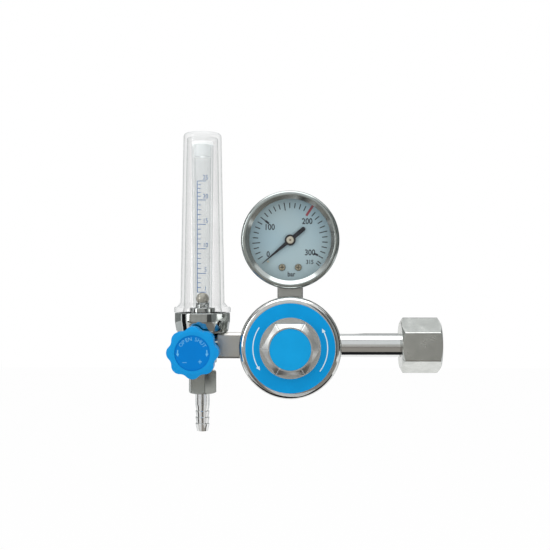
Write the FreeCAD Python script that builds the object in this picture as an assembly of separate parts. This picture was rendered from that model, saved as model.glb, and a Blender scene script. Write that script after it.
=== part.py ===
import FreeCAD
import Part
import math
import os

# Cylinder gas regulator with a pressure gauge and a flow tube. The gas enters through the cylinder
# nut on the right, the spring and diaphragm in the round body bring it down to working pressure,
# the gauge on top reads the cylinder, and the ball in the clear tube on the left shows the flow
# that the needle valve behind the knob lets out through the hose barb.
#
# Frame, in millimetres: the origin lies on the inlet axis at the inner end of the inlet thread,
# +X points out of the inlet nut, +Z up along the flow tube, and the gauge faces the front, -Y.

V = FreeCAD.Vector
UP, DOWN = V(0, 0, 1), V(0, 0, -1)
RIGHT, LEFT = V(1, 0, 0), V(-1, 0, 0)
FRONT, BACK = V(0, -1, 0), V(0, 1, 0)

# ------------------------------------------------------------------ driving sizes
SEAT = 0.05            # radial clearance of a screwed or pushed seat
RUN = 0.3              # clearance between pieces that move past each other

# Where the axes stand
INLET_REACH = 80.0     # body axis to the origin
COVER_GAP = 6.3        # gap between the bonnet and the flow cover's flange
GAUGE_GAP = 4.4        # gap between the bonnet and the gauge's bezel

# Inlet nipple and its nut
PIPE_R = 7.35
PIPE_BORE_R = 2.5
COLLAR_LIP = 2.0       # how far the collar stands out of the pipe
COLLAR_LENGTH = 5.8
GASKET_PROUD = 0.3     # how far the inlet gasket stands out of the collar
GASKET_DEPTH = 1.4
GASKET_WIDTH = 3.0
FILTER_R = 4.4
FILTER_LENGTH = 9.0
THREAD_DEPTH = 0.9     # groove depth that the thread relief clears
THREAD_LENGTH = 12.7
MOUTH_CHAMFER = 0.8
NUT_FLATS = 30.0
NUT_BACK_WALL = 4.5

# Regulator body: heights are along its axis, counted to the front from the plane of the ports
BODY_R = 24.0
BODY_BACK = 17.0
BODY_ROUND = 5.0
FLANGE_R = 28.3
FLANGE_FRONT = 15.0
BOSS_R = 8.3
BOSS_REACH = 29.0      # body axis to the faces of the port bosses
CHAMBER_R = 20.0
CHAMBER_DEPTH = 6.0
VALVE_BORE_R = 5.5
PORT_STUB_R = 6.0      # screwed ends of the nipple, the arm and the gauge
PORT_STUB_LENGTH = 8.0
PASSAGE_R = 2.0
OUTLET_RISER_X = 15.5  # body axis to the drilling that leads out of the diaphragm chamber
RELIEF_Z = 15.0        # body axis down to the relief valve

# Bonnet with its hexagon
BONNET_R = 31.0
BONNET_FACE = 27.0
BONNET_ROUND = 4.0
SKIRT_CLEAR = 0.7      # gap between the port bosses and the skirt
FACE_WALL = 4.0        # front wall of the bell
SPRING_ROOM_R = 12.2
HEX_FLATS = 30.0
HEX_HEIGHT = 11.0
HEX_WALL = 4.6         # front wall that holds the adjusting screw
HEX_CHAMFER_R = 13.2   # where the chamfer meets the front
HEX_CHAMFER_SLOPE = 0.73
SPOTFACE_R = 18.3
SPOTFACE_DEPTH = 0.5
RING_LABEL_R = 27.0
LABEL_THICKNESS = 0.3
DISC_LABEL_R = 12.3
DISC_RECESS = 0.8
DISC_THICKNESS = 0.6

# Spring, diaphragm and valve
ADJUSTER_R = 5.0
ADJUSTER_LENGTH = 6.2
BUTTON_R = 11.0
BUTTON_THICKNESS = 2.0
SPRING_R = 8.8         # to the wire's centre
SPRING_WIRE_R = 1.0
SPRING_TURNS = 3.5
WIRE_SIDES = 8         # flats round the wire of every spring
DIAPHRAGM_THICKNESS = 1.2
SLIP_RING_THICKNESS = 0.8
PLATE_R = 11.5
PLATE_THICKNESS = 2.2
NOZZLE_LENGTH = 6.0
NOZZLE_BORE_R = 1.7
VALVE_LIFT = 0.8
PIN_R = 1.2
POPPET_R = 3.2
POPPET_LENGTH = 2.0
POPPET_SPRING_R = 2.6
POPPET_WIRE_R = 0.35
POPPET_TURNS = 3.5
POPPET_SPRING_LENGTH = 7.0
PLUG_FLATS = 17.0
PLUG_HEAD = 6.0
WASHER_THICKNESS = 1.0
RELIEF_R = 4.6
RELIEF_LENGTH = 11.0
RELIEF_STUB_R = 3.6
RELIEF_STUB_LENGTH = 6.0
RELIEF_VENT_R = 0.8
RELIEF_BALL_R = 1.8
RELIEF_SEAT_R = 1.1
RELIEF_WIRE_R = 0.25
RELIEF_TURNS = 3.0
RELIEF_CAP_R = 3.4
RELIEF_CAP_DEPTH = 2.2
RELIEF_CAP_HEAD = 1.2

# Pressure gauge: heights are along its axis, counted to the front from the plane of the ports
SOCKET_SIDE = 15.8
SOCKET_TOP = 14.0      # gauge centre down to the top of the socket inside the case
CASE_R = 28.5
CASE_WALL = 0.8
CASE_BACK = 11.0
CASE_FRONT = 13.4
LENS_THICKNESS = 1.8
BEZEL_WALL = 1.55
BEZEL_LIP = 2.7        # how far the bezel stands in front of the lens
WINDOW_R = 25.0
BEZEL_BEVEL = 2.4      # width of the bevel round the window
DIAL_FRONT = 9.7
DIAL_THICKNESS = 0.5
DIAL_SCREW_X = 5.0
DIAL_SCREW_Z = 16.8
DIAL_SCREW_HEAD_R = 2.1
STOP_PIN_R = 0.6
STOP_PIN_REACH = 19.0
STOP_PIN_ANGLE = 224.0
POINTER_ANGLE = 220.0  # direction of the tip at rest, counted up from the right
POINTER_SWEEP = 266.0
POINTER_REACH = 22.5
POINTER_TAIL = 11.8
POINTER_WIDTH = 2.6
POINTER_THICKNESS = 0.4
POINTER_HUB_R = 3.4
HUB_CAP_R = 2.4
ARBOR_R = 0.6
MODULE = 0.3
PINION_TEETH = 10
SECTOR_TEETH = 70      # of the whole circle that the sector is cut from
SECTOR_ANGLE = -48.4   # direction from the gauge's centre to the sector's pivot
ADDENDUM = 0.8         # of the module
DEDENDUM = 1.1
SECTOR_RIM = 2.2
PIVOT_HUB_R = 1.8
GEAR_THICKNESS = 1.6
GEAR_BACK = 2.2
TAIL_REACH = 6.0
FRAME_PLATE_R = 15.0
FRAME_PLATE = 1.0
FRAME_BACK = 0.4
FRAME_FRONT = 7.2
PILLAR_R = 1.1
PILLAR_PLACES = ((-9.0, 8.0), (9.0, 7.5), (-6.0, -12.0))
BOURDON_R = 19.5
BOURDON_WIDTH = 6.0
BOURDON_THICKNESS = 2.0
BOURDON_START = 268.0
BOURDON_TIP = -26.0
TIP_BLOCK_R = 1.6
LINK_PIN_R = 0.5
LINK_EYE_R = 1.5
LINK_PLAY = 0.5        # side play of the slot about the tube's pin
LINK_SLOT = 4.2        # how far the link slides along the tube's pin
LINK_THICKNESS = 0.8

# Arm between the regulator body and the flow head
ARM_SIDE = 15.5
ARM_CHAMFER = 1.1

# Flow head: heights are along the flow tube's axis, counted up from the inlet axis
HEAD_R = 17.3
HEAD_TOP = 20.4
HEAD_CLEAR = 0.1       # gap between the arm and the underside of the cup
HEAD_TAPER = 1.2
HEAD_ROUND = 2.2
HEAD_WALL = 2.7
HEAD_FLOOR = 12.0
HUB_R = 9.0
HUB_BOTTOM = 11.0
HEAD_BOSS_REACH = 10.0
STUD_R = 6.4
STUD_BORE_R = 2.4
RISER_R = 1.6          # drilling from the arm up to the tube
RISER_X = 3.2
FEED_R = 0.9           # slanting drilling from the cup to the needle valve

# Clear cover over the flow tube
COVER_HEADROOM = 2.7   # gap above the ball stop
COVER_TOP_R = 11.8
COVER_FOOT_R = 13.75
COVER_WALL = 2.1
COVER_CROWN = 2.8
COVER_CROWN_ROUND = 2.4
COVER_LEDGE = 0.4      # how far the flange stands out past the cup
COVER_FLANGE = 3.7
COVER_SPIGOT = 6.5
COVER_RIBS = 20
COVER_RIB_HEIGHT = 4.2
COVER_RIB_REACH = 2.3
COVER_RIB_WIDTH = 1.3
COVER_SEAL_R = 0.9

# Flow tube, ball and what holds them
BALL_R = 4.0
BALL_REST = 29.0
BALL_TRAVEL = 85.0
BALL_SLACK = 0.3       # bore beyond the ball at the tube's foot
TUBE_TAPER = 1.1       # growth of the bore's radius up to the tube's top
TUBE_WALL = 1.45
TUBE_FOOT = 22.0
SEAT_BORE_R = 2.0
SEAT_MOUTH_R = 3.4     # mouth of the 45 degree cone that the ball rests in
SEAT_GAP = 0.03
TUBE_PLUG_R = 7.8
TUBE_PLUG_STUB_R = 5.2
STOP_LENGTH = 7.2
STOP_HEAD = 2.0
STOP_SLOT = 2.4

# Needle valve and its knob: heights are along its axis, counted to the front
VALVE_LEFT = 3.4       # the valve's axis stands beside the flow tube's axis
VALVE_DROP = 2.6       # and below the inlet axis
STEM_R = 2.5
STEM_TIP = 3.0         # how far the needle reaches behind the flow tube's axis
NEEDLE_R = 1.4
NEEDLE_PITCH = 1.0     # travel of the needle for one turn
RING_WIRE_R = 0.5
RING_AT = 2.4
GLAND_R = 5.0
GLAND_DEPTH = 3.0
GLAND_FLATS = 14.0
GLAND_HEAD = 4.5
KNOB_GAP = 1.7         # gap between the cup and the back of the knob
KNOB_LENGTH = 12.5
KNOB_R = 15.7
KNOB_VALLEY_R = 14.0
KNOB_LOBES = 8
KNOB_LOBE_ROUND = 5.0
KNOB_FRONT_ROUND = 3.0
KNOB_WALL = 2.6
KNOB_WEB = 4.0
KNOB_HUB_R = 5.0
KNOB_PLATE_R = 10.6
KNOB_PLATE = 1.0
KNOB_RECESS = 1.5
SCREW_R = 1.2
SCREW_LENGTH = 6.0
SCREW_HEAD_R = 2.4
SCREW_HEAD = 1.6

# Outlet nut and hose barb, hanging under the flow head
OUT_NUT_FLATS = 16.0
OUT_NUT_CLEAR = 4.7    # stud showing between the hub and the nut
OUT_NUT_LENGTH = 14.3
OUT_NUT_LIP = 3.4
OUT_NUT_TURN = 13.3    # a corner stands this many degrees to the right of the front
BARB_NECK_R = 4.5
BARB_COLLAR_R = 6.2
BARB_COLLAR = 2.8
BARB_NECK = 7.1        # plain neck below the nut, over which the hose ends
BARB_SHANK_R = 4.2
BARB_BORE_R = 1.9
BARB_LIP_R = 4.42
BARB_ROOT_R = 3.85
BARB_TIP_R = 3.4
BARB_PITCH = 3.9
BARB_NOSE = 0.8        # extra length of the last barb
BARB_COUNT = 4
OUT_GASKET = 0.8

# ------------------------------------------------------------------ sizes worked out from those
BEZEL_R = CASE_R + SEAT + BEZEL_WALL
GAUGE_RISE = BONNET_R + GAUGE_GAP + BEZEL_R
COVER_FLANGE_R = HEAD_R + COVER_LEDGE
BODY_X = -INLET_REACH
FLOW_X = BODY_X - BONNET_R - COVER_GAP - COVER_FLANGE_R
BODY_AT = V(BODY_X, 0, 0)
GAUGE_AT = V(BODY_X, 0, GAUGE_RISE)
FLOW_AT = V(FLOW_X, 0, 0)
VALVE_AT = V(FLOW_X - VALVE_LEFT, 0, -VALVE_DROP)
FROM_FLOW = V(-VALVE_LEFT, 0, -VALVE_DROP)

COLLAR_R = PIPE_R + COLLAR_LIP
COLLAR_FACE = -(GASKET_PROUD + RUN)
COLLAR_REAR = COLLAR_FACE - COLLAR_LENGTH
THREAD_R = COLLAR_R + RUN + 0.1
NUT_SHOULDER = COLLAR_REAR - RUN
NUT_REAR = NUT_SHOULDER - NUT_BACK_WALL
NUT_MOUTH = THREAD_LENGTH + MOUTH_CHAMFER
NIPPLE_SEAT_X = BODY_X + BOSS_REACH

CHAMBER_FLOOR = FLANGE_FRONT - CHAMBER_DEPTH
DIAPHRAGM_R = FLANGE_R - 2.0
DIAPHRAGM_TOP = FLANGE_FRONT + DIAPHRAGM_THICKNESS
CLAMP_FACE = DIAPHRAGM_TOP + SLIP_RING_THICKNESS
PLATE_TOP = DIAPHRAGM_TOP + PLATE_THICKNESS
HEX_FRONT = BONNET_FACE + HEX_HEIGHT
CAVITY_TOP = BONNET_FACE - FACE_WALL
SPRING_ROOM_TOP = HEX_FRONT - HEX_WALL
SKIRT_REAR = BOSS_R + SKIRT_CLEAR
ADJUSTER_TOP = HEX_FRONT - DISC_RECESS - RUN
ADJUSTER_FOOT = ADJUSTER_TOP - ADJUSTER_LENGTH
BUTTON_FOOT = ADJUSTER_FOOT - BUTTON_THICKNESS
NOZZLE_FOOT = CHAMBER_FLOOR - NOZZLE_LENGTH
POPPET_TOP = NOZZLE_FOOT - VALVE_LIFT - SEAT
POPPET_FOOT = POPPET_TOP - POPPET_LENGTH
PLUG_TOP = POPPET_FOOT - POPPET_SPRING_LENGTH

RELIEF_END = -BODY_BACK - RELIEF_LENGTH
RELIEF_ROOM_R = RELIEF_BALL_R + RUN
RELIEF_BALL_AT = -BODY_BACK - math.sqrt(RELIEF_BALL_R ** 2 - RELIEF_SEAT_R ** 2) - 0.03

BEZEL_BACK = SOCKET_SIDE / 2 + RUN
LENS_FRONT = CASE_FRONT + LENS_THICKNESS
BEZEL_FRONT = LENS_FRONT + BEZEL_LIP
DIAL_BACK = DIAL_FRONT - DIAL_THICKNESS
DIAL_R = CASE_R - CASE_WALL - SEAT
PINION_R = MODULE * PINION_TEETH / 2
SECTOR_R = MODULE * SECTOR_TEETH / 2
PIVOT_REACH = PINION_R + SECTOR_R
SECTOR_TRAVEL = POINTER_SWEEP * PINION_TEETH / SECTOR_TEETH
SECTOR_PITCH = 360.0 / SECTOR_TEETH
SECTOR_KEPT = math.ceil(SECTOR_TRAVEL / SECTOR_PITCH) + 3
GEAR_FRONT = GEAR_BACK + GEAR_THICKNESS
LINK_BACK = GEAR_FRONT + RUN
LINK_FRONT = LINK_BACK + LINK_THICKNESS
POINTER_BACK = DIAL_FRONT + 1.0

ARM_START = BODY_X - BOSS_REACH
ARM_END = FLOW_X + HEAD_BOSS_REACH

HEAD_BOTTOM = ARM_SIDE / 2 + HEAD_CLEAR
HEAD_ROOM_R = HEAD_R - HEAD_WALL
COVER_FOOT = HEAD_TOP + COVER_FLANGE
SPIGOT_R = HEAD_ROOM_R - SEAT
BORE_FOOT_R = BALL_R + BALL_SLACK
BORE_TOP_R = BORE_FOOT_R + TUBE_TAPER
TUBE_FOOT_R = BORE_FOOT_R + TUBE_WALL
TUBE_TOP_R = BORE_TOP_R + TUBE_WALL
BALL_STOP_Z = BALL_REST + BALL_TRAVEL + BALL_R + RUN
TUBE_TOP = BALL_STOP_Z + STOP_LENGTH
COVER_TOP = TUBE_TOP + STOP_HEAD + COVER_HEADROOM + COVER_CROWN
SEAT_TOP = BALL_REST + SEAT_MOUTH_R - (BALL_R + SEAT_GAP) * math.sqrt(2)
SEAT_FOOT = SEAT_TOP - (SEAT_MOUTH_R - SEAT_BORE_R)
KNOB_BACK = HEAD_R + KNOB_GAP
KNOB_FRONT = KNOB_BACK + KNOB_LENGTH
OUT_NUT_TOP = HUB_BOTTOM + OUT_NUT_CLEAR
OUT_NUT_BOTTOM = OUT_NUT_TOP + OUT_NUT_LENGTH
OUT_NUT_SHELF = OUT_NUT_BOTTOM - OUT_NUT_LIP
BARB_COLLAR_TOP = OUT_NUT_SHELF - RUN - BARB_COLLAR
STUD_END = BARB_COLLAR_TOP - OUT_GASKET
NECK_TOP = OUT_NUT_BOTTOM + 0.2
NECK_END = NECK_TOP + BARB_NECK
BARB_END = NECK_END + BARB_PITCH * BARB_COUNT + BARB_NOSE


# ------------------------------------------------------------------ helpers
def polar(radius, degrees):
    """Point at that radius and angle in the XY plane."""
    turn = math.radians(degrees)
    return V(radius * math.cos(turn), radius * math.sin(turn), 0)


def loop(corners, lift=lambda a, b: V(a, 0, b)):
    """Closed wire through (a, b) corners. A third number in a corner rounds it to that radius."""
    points = [lift(c[0], c[1]) for c in corners]
    ends = []
    for i, corner in enumerate(corners):
        here = points[i]
        if len(corner) < 3:
            ends.append((here, None, here))
            continue
        before = (points[i - 1] - here).normalize()
        after = (points[(i + 1) % len(points)] - here).normalize()
        half = before.getAngle(after) / 2
        middle = (before + after).normalize()
        reach = corner[2] / math.tan(half)
        crown = middle * (corner[2] / math.sin(half) - corner[2])
        ends.append((here + before * reach, here + crown, here + after * reach))
    edges = []
    for i, (start, crown, end) in enumerate(ends):
        if crown:
            edges.append(Part.Arc(start, crown, end).toShape())
        following = ends[(i + 1) % len(ends)][0]
        if end.distanceToPoint(following) > 1e-6:
            edges.append(Part.makeLine(end, following))
    return Part.Wire(edges)


def turned(corners):
    """Solid turned about Z from (radius, height) corners."""
    return Part.Face(loop(corners)).revolve(V(0, 0, 0), UP, 360)


def plate(corners, height, base=0.0):
    """Flat piece of that height over (x, y) corners, standing on base."""
    return Part.Face(loop(corners, lambda a, b: V(a, b, base))).extrude(V(0, 0, height))


def rod(radius, low, high, at=(0, 0)):
    """Round bar along Z from low to high."""
    return Part.makeCylinder(radius, high - low, V(at[0], at[1], low))


def ring(outer, inner, low, high):
    return rod(outer, low, high).cut(rod(inner, low, high))


def bar(side_x, side_y, low, high):
    return Part.makeBox(side_x, side_y, high - low, V(-side_x / 2, -side_y / 2, low))


def hexagon(flats, low, high, start=0.0):
    """Six-sided prism along Z; start is the direction of its first corner, in degrees."""
    corners = [polar(flats / math.sqrt(3), start + 60 * i) for i in range(6)]
    return plate([(c.x, c.y) for c in corners], high - low, low)


def stadium(start, end, radius, low, high):
    """Strip with round ends between two points."""
    side = (end - start).normalize().cross(UP) * radius
    strip = plate([((start + side).x, (start + side).y), ((start - side).x, (start - side).y),
                   ((end - side).x, (end - side).y), ((end + side).x, (end + side).y)],
                  high - low, low)
    return strip.fuse([rod(radius, low, high, (start.x, start.y)), rod(radius, low, high, (end.x, end.y))])


def chamfered_hexagon(flats, low, high, start=0.0):
    """Six-sided prism whose corners are turned off at 30 degrees at both ends."""
    inner, outer = flats / 2 * 0.97, flats / math.sqrt(3) + 1.0
    fall = (outer - inner) * math.tan(math.radians(30))
    blank = turned([(0, low), (inner, low), (outer, low + fall), (outer, high - fall),
                    (inner, high), (0, high)])
    return hexagon(flats, low, high, start).common(blank)


def coil(radius, wire, turns, low, high):
    """Compression spring between two heights, its wire's surface on both."""
    rise = high - low - 2 * wire
    path = Part.Wire(Part.makeHelix(rise / turns, rise, radius))
    half = 180.0 / WIRE_SIDES
    across = wire / math.cos(math.radians(half))
    corners = [polar(across, half + 2 * half * i) for i in range(WIRE_SIDES)]
    section = loop([(radius + c.x, c.y) for c in corners])
    spring = path.makePipeShell([section], True, True)
    spring.translate(V(0, 0, low + wire))
    return spring


def stand(shape, direction, at=V(0, 0, 0)):
    """Turns a shape from +Z to a direction and moves its origin to a point. A shape that faces the
    front keeps X to the right, and its Y becomes up."""
    turn = FreeCAD.Rotation(UP, direction)
    placed = shape.copy()
    placed.transformShape(FreeCAD.Placement(at, turn).toMatrix())
    return placed


# ------------------------------------------------------------------ inlet
def inlet_nut():
    """Cylinder nut: thread, relief for the collar and a back wall that pulls on it."""
    nut = chamfered_hexagon(NUT_FLATS, NUT_REAR, NUT_MOUTH)
    bore = turned([(0, NUT_SHOULDER), (THREAD_R + THREAD_DEPTH, NUT_SHOULDER),
                   (THREAD_R + THREAD_DEPTH, -SEAT), (THREAD_R, 0), (THREAD_R, THREAD_LENGTH),
                   (THREAD_R + 2 * MOUTH_CHAMFER, NUT_MOUTH + MOUTH_CHAMFER),
                   (0, NUT_MOUTH + MOUTH_CHAMFER)])
    hole = rod(PIPE_R + RUN, NUT_REAR, NUT_SHOULDER)
    return stand(nut.cut([bore, hole]), RIGHT)


def inlet_nipple():
    """Tail pipe: collar and gasket seat in the nut, screwed stub in the body."""
    pipe = turned([(0, NIPPLE_SEAT_X - PORT_STUB_LENGTH), (PORT_STUB_R - SEAT - 0.6, NIPPLE_SEAT_X
                   - PORT_STUB_LENGTH), (PORT_STUB_R - SEAT, NIPPLE_SEAT_X - PORT_STUB_LENGTH + 0.6),
                   (PORT_STUB_R - SEAT, NIPPLE_SEAT_X), (PIPE_R, NIPPLE_SEAT_X),
                   (PIPE_R, COLLAR_REAR), (COLLAR_R, COLLAR_REAR, 0.5), (COLLAR_R, COLLAR_FACE, 0.8),
                   (0, COLLAR_FACE)])
    bore = rod(PIPE_BORE_R, NIPPLE_SEAT_X - PORT_STUB_LENGTH, COLLAR_FACE)
    pocket = rod(FILTER_R, COLLAR_FACE - FILTER_LENGTH, COLLAR_FACE)
    groove = ring(FILTER_R + 0.6 + GASKET_WIDTH, FILTER_R + 0.6, COLLAR_FACE - GASKET_DEPTH,
                  COLLAR_FACE)
    return stand(pipe.cut([bore, pocket, groove]), RIGHT)


def inlet_filter():
    """Sintered bronze thimble in the nipple's mouth."""
    foot, face = COLLAR_FACE - FILTER_LENGTH, COLLAR_FACE - 0.5
    radius = FILTER_R - SEAT
    shell = turned([(0, face), (radius * 0.55, face), (radius, face - 2.5), (radius, foot), (0, foot)])
    return stand(shell.cut(rod(radius - 1.6, foot, face - 2.5)), RIGHT)


def inlet_gasket():
    face = COLLAR_FACE + GASKET_PROUD
    washer = ring(FILTER_R + 0.6 + GASKET_WIDTH - SEAT, FILTER_R + 0.6 + SEAT,
                  COLLAR_FACE - GASKET_DEPTH, face)
    return stand(washer, RIGHT)


# ------------------------------------------------------------------ regulator body and bonnet
def regulator_body():
    """Forged body: round back, diaphragm chamber in front, and bosses for the three ports."""
    core = turned([(0, -BODY_BACK), (BODY_R, -BODY_BACK, BODY_ROUND), (BODY_R, SKIRT_REAR - 2.0),
                   (FLANGE_R, SKIRT_REAR - 0.2), (FLANGE_R, FLANGE_FRONT), (0, FLANGE_FRONT)])
    bosses = [stand(rod(BOSS_R, 0, BOSS_REACH), way)
              for way in (RIGHT, LEFT)] + [stand(turned(
                  [(0, 0), (BOSS_R, 0), (BOSS_R, BOSS_REACH, 0.8), (0, BOSS_REACH)]), UP)]
    blank = stand(core, FRONT).fuse(bosses)
    front_cuts = [rod(CHAMBER_R, CHAMBER_FLOOR, FLANGE_FRONT),
                  rod(VALVE_BORE_R, -BODY_BACK, CHAMBER_FLOOR),
                  rod(PASSAGE_R, 0, CHAMBER_FLOOR, (-OUTLET_RISER_X, 0)),
                  rod(PASSAGE_R, -BODY_BACK, CHAMBER_FLOOR, (0, -RELIEF_Z)),
                  rod(RELIEF_STUB_R, -BODY_BACK, RELIEF_STUB_LENGTH - BODY_BACK, (0, -RELIEF_Z))]
    port_cuts = []
    for way, depth in ((RIGHT, 0), (UP, 0), (LEFT, OUTLET_RISER_X)):
        port_cuts.append(stand(rod(PORT_STUB_R, BOSS_REACH - PORT_STUB_LENGTH, BOSS_REACH), way))
        port_cuts.append(stand(rod(PASSAGE_R, depth, BOSS_REACH), way))
    shape = blank.cut([stand(c, FRONT) for c in front_cuts] + port_cuts)
    shape.translate(BODY_AT)
    return shape


def bonnet():
    """Bell screwed over the flange, its hexagon drawn up from the face round the spring room."""
    bell = turned([(0, SKIRT_REAR), (BONNET_R - 0.6, SKIRT_REAR), (BONNET_R, SKIRT_REAR + 0.8),
                   (BONNET_R, BONNET_FACE, BONNET_ROUND), (0, BONNET_FACE)])
    bell = bell.cut(rod(SPOTFACE_R, BONNET_FACE - SPOTFACE_DEPTH, BONNET_FACE))
    corner = HEX_FLATS / math.sqrt(3) + 1.0
    shoulder = HEX_FRONT - (corner - HEX_CHAMFER_R) * HEX_CHAMFER_SLOPE
    cap = turned([(0, CAVITY_TOP), (corner, CAVITY_TOP), (corner, shoulder),
                  (HEX_CHAMFER_R, HEX_FRONT, 0.35), (0, HEX_FRONT)])
    hexed = hexagon(HEX_FLATS, CAVITY_TOP, HEX_FRONT).common(cap)
    room = turned([(0, SKIRT_REAR), (FLANGE_R + SEAT, SKIRT_REAR), (FLANGE_R + SEAT, CLAMP_FACE),
                   (CHAMBER_R, CLAMP_FACE), (CHAMBER_R, CAVITY_TOP, 2.0),
                   (SPRING_ROOM_R, CAVITY_TOP), (SPRING_ROOM_R, SPRING_ROOM_TOP, 1.5),
                   (0, SPRING_ROOM_TOP)])
    screw_hole = rod(ADJUSTER_R, SPRING_ROOM_TOP, HEX_FRONT)
    recess = rod(DISC_LABEL_R + SEAT, HEX_FRONT - DISC_RECESS, HEX_FRONT)
    return stand(bell.fuse(hexed).cut([room, screw_hole, recess]), FRONT, BODY_AT)


def ring_label():
    inner = SPOTFACE_R + 0.1
    return stand(ring(RING_LABEL_R, inner, BONNET_FACE, BONNET_FACE + LABEL_THICKNESS), FRONT, BODY_AT)


def disc_label():
    low = HEX_FRONT - DISC_RECESS
    return stand(rod(DISC_LABEL_R, low, low + DISC_THICKNESS), FRONT, BODY_AT)


def adjusting_screw():
    """Grub screw that presets the working pressure, with its key socket to the front."""
    radius = ADJUSTER_R - SEAT
    screw = turned([(0, ADJUSTER_FOOT), (radius - 1.0, ADJUSTER_FOOT), (radius, ADJUSTER_FOOT + 1.0),
                    (radius, ADJUSTER_TOP), (0, ADJUSTER_TOP)])
    socket = hexagon(radius, ADJUSTER_TOP - ADJUSTER_LENGTH / 2, ADJUSTER_TOP)
    return stand(screw.cut(socket), FRONT, BODY_AT)


def spring_button():
    """Cap between the adjusting screw and the spring, with a spigot that centres the coil."""
    spigot = SPRING_R - SPRING_WIRE_R - RUN
    button = turned([(0, BUTTON_FOOT - 2.0), (spigot, BUTTON_FOOT - 2.0, 0.6), (spigot, BUTTON_FOOT),
                     (BUTTON_R, BUTTON_FOOT), (BUTTON_R, ADJUSTER_FOOT, 0.6), (0, ADJUSTER_FOOT)])
    return stand(button, FRONT, BODY_AT)


def main_spring():
    return stand(coil(SPRING_R, SPRING_WIRE_R, SPRING_TURNS, PLATE_TOP, BUTTON_FOOT), FRONT, BODY_AT)


def slip_ring():
    washer = ring(DIAPHRAGM_R, CHAMBER_R, DIAPHRAGM_TOP, CLAMP_FACE)
    return stand(washer, FRONT, BODY_AT)


def diaphragm():
    return stand(rod(DIAPHRAGM_R, FLANGE_FRONT, DIAPHRAGM_TOP), FRONT, BODY_AT)


def diaphragm_plate():
    """Plate under the spring, dished so that the coil stays on the axis."""
    rim = turned([(0, DIAPHRAGM_TOP), (PLATE_R, DIAPHRAGM_TOP), (PLATE_R, PLATE_TOP + 0.6),
                  (PLATE_R - 0.8, PLATE_TOP + 0.6), (PLATE_R - 1.2, PLATE_TOP), (0, PLATE_TOP)])
    return stand(rim, FRONT, BODY_AT)


def valve_nozzle():
    """Screwed seat between the high-pressure bore and the diaphragm chamber."""
    outer = VALVE_BORE_R - SEAT
    shape = turned([(NOZZLE_BORE_R, NOZZLE_FOOT), (NOZZLE_BORE_R + 0.6, NOZZLE_FOOT),
                    (NOZZLE_BORE_R + 1.0, NOZZLE_FOOT + 0.6), (outer, NOZZLE_FOOT + 0.6),
                    (outer, CHAMBER_FLOOR), (VALVE_BORE_R + 1.5, CHAMBER_FLOOR),
                    (VALVE_BORE_R + 1.5, CHAMBER_FLOOR + 1.5), (NOZZLE_BORE_R, CHAMBER_FLOOR + 1.5)])
    return stand(shape, FRONT, BODY_AT)


def poppet():
    """Valve head and pin; the pin's end touches the diaphragm."""
    shape = turned([(0, POPPET_FOOT - 1.5), (1.6, POPPET_FOOT - 1.5, 0.4), (1.6, POPPET_FOOT),
                    (POPPET_R, POPPET_FOOT), (POPPET_R, POPPET_TOP, 0.3), (PIN_R, POPPET_TOP),
                    (PIN_R, FLANGE_FRONT - SEAT, 0.5), (0, FLANGE_FRONT - SEAT)])
    return stand(shape, FRONT, BODY_AT)


def poppet_spring():
    return stand(coil(POPPET_SPRING_R, POPPET_WIRE_R, POPPET_TURNS, PLUG_TOP, POPPET_FOOT),
                 FRONT, BODY_AT)


def valve_plug():
    """Hexagon plug that closes the valve bore at the back."""
    seat = -BODY_BACK - WASHER_THICKNESS
    stem = rod(VALVE_BORE_R - SEAT, seat, PLUG_TOP)
    head = chamfered_hexagon(PLUG_FLATS, seat - PLUG_HEAD, seat)
    return stand(stem.fuse(head), FRONT, BODY_AT)


def plug_washer():
    washer = ring(PLUG_FLATS / 2 - 0.4, VALVE_BORE_R + SEAT, -BODY_BACK - WASHER_THICKNESS, -BODY_BACK)
    return stand(washer, FRONT, BODY_AT)


def relief_at():
    return BODY_AT + V(0, 0, -RELIEF_Z)


def relief_valve():
    """Safety valve housing: screwed stub, waisted barrel and two vent holes."""
    foot = RELIEF_STUB_LENGTH - BODY_BACK
    waist = -BODY_BACK - RELIEF_LENGTH / 2
    shape = turned([(0, foot), (RELIEF_STUB_R - SEAT, foot), (RELIEF_STUB_R - SEAT, -BODY_BACK),
                    (RELIEF_R, -BODY_BACK), (RELIEF_R, waist + 1.0), (RELIEF_R - 0.7, waist + 0.5),
                    (RELIEF_R - 0.7, waist - 0.5), (RELIEF_R, waist - 1.0),
                    (RELIEF_R, RELIEF_END, 0.8), (0, RELIEF_END)])
    room = rod(RELIEF_ROOM_R, RELIEF_END, -BODY_BACK)
    mouth = rod(RELIEF_SEAT_R, -BODY_BACK, foot)
    vent = stand(rod(RELIEF_VENT_R, -RELIEF_R, RELIEF_R), RIGHT, V(0, 0, waist))
    return stand(shape.cut([room, mouth, vent]), FRONT, relief_at())


def relief_ball():
    return stand(Part.makeSphere(RELIEF_BALL_R, V(0, 0, RELIEF_BALL_AT)), FRONT, relief_at())


def relief_spring():
    """Small coil between the ball and the cap."""
    radius = RELIEF_ROOM_R - RUN - RELIEF_WIRE_R
    touch = RELIEF_BALL_AT - math.sqrt(RELIEF_BALL_R ** 2 - radius ** 2) - RELIEF_WIRE_R
    spring = coil(radius, RELIEF_WIRE_R, RELIEF_TURNS, RELIEF_END + RELIEF_CAP_DEPTH, touch)
    return stand(spring, FRONT, relief_at())


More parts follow.
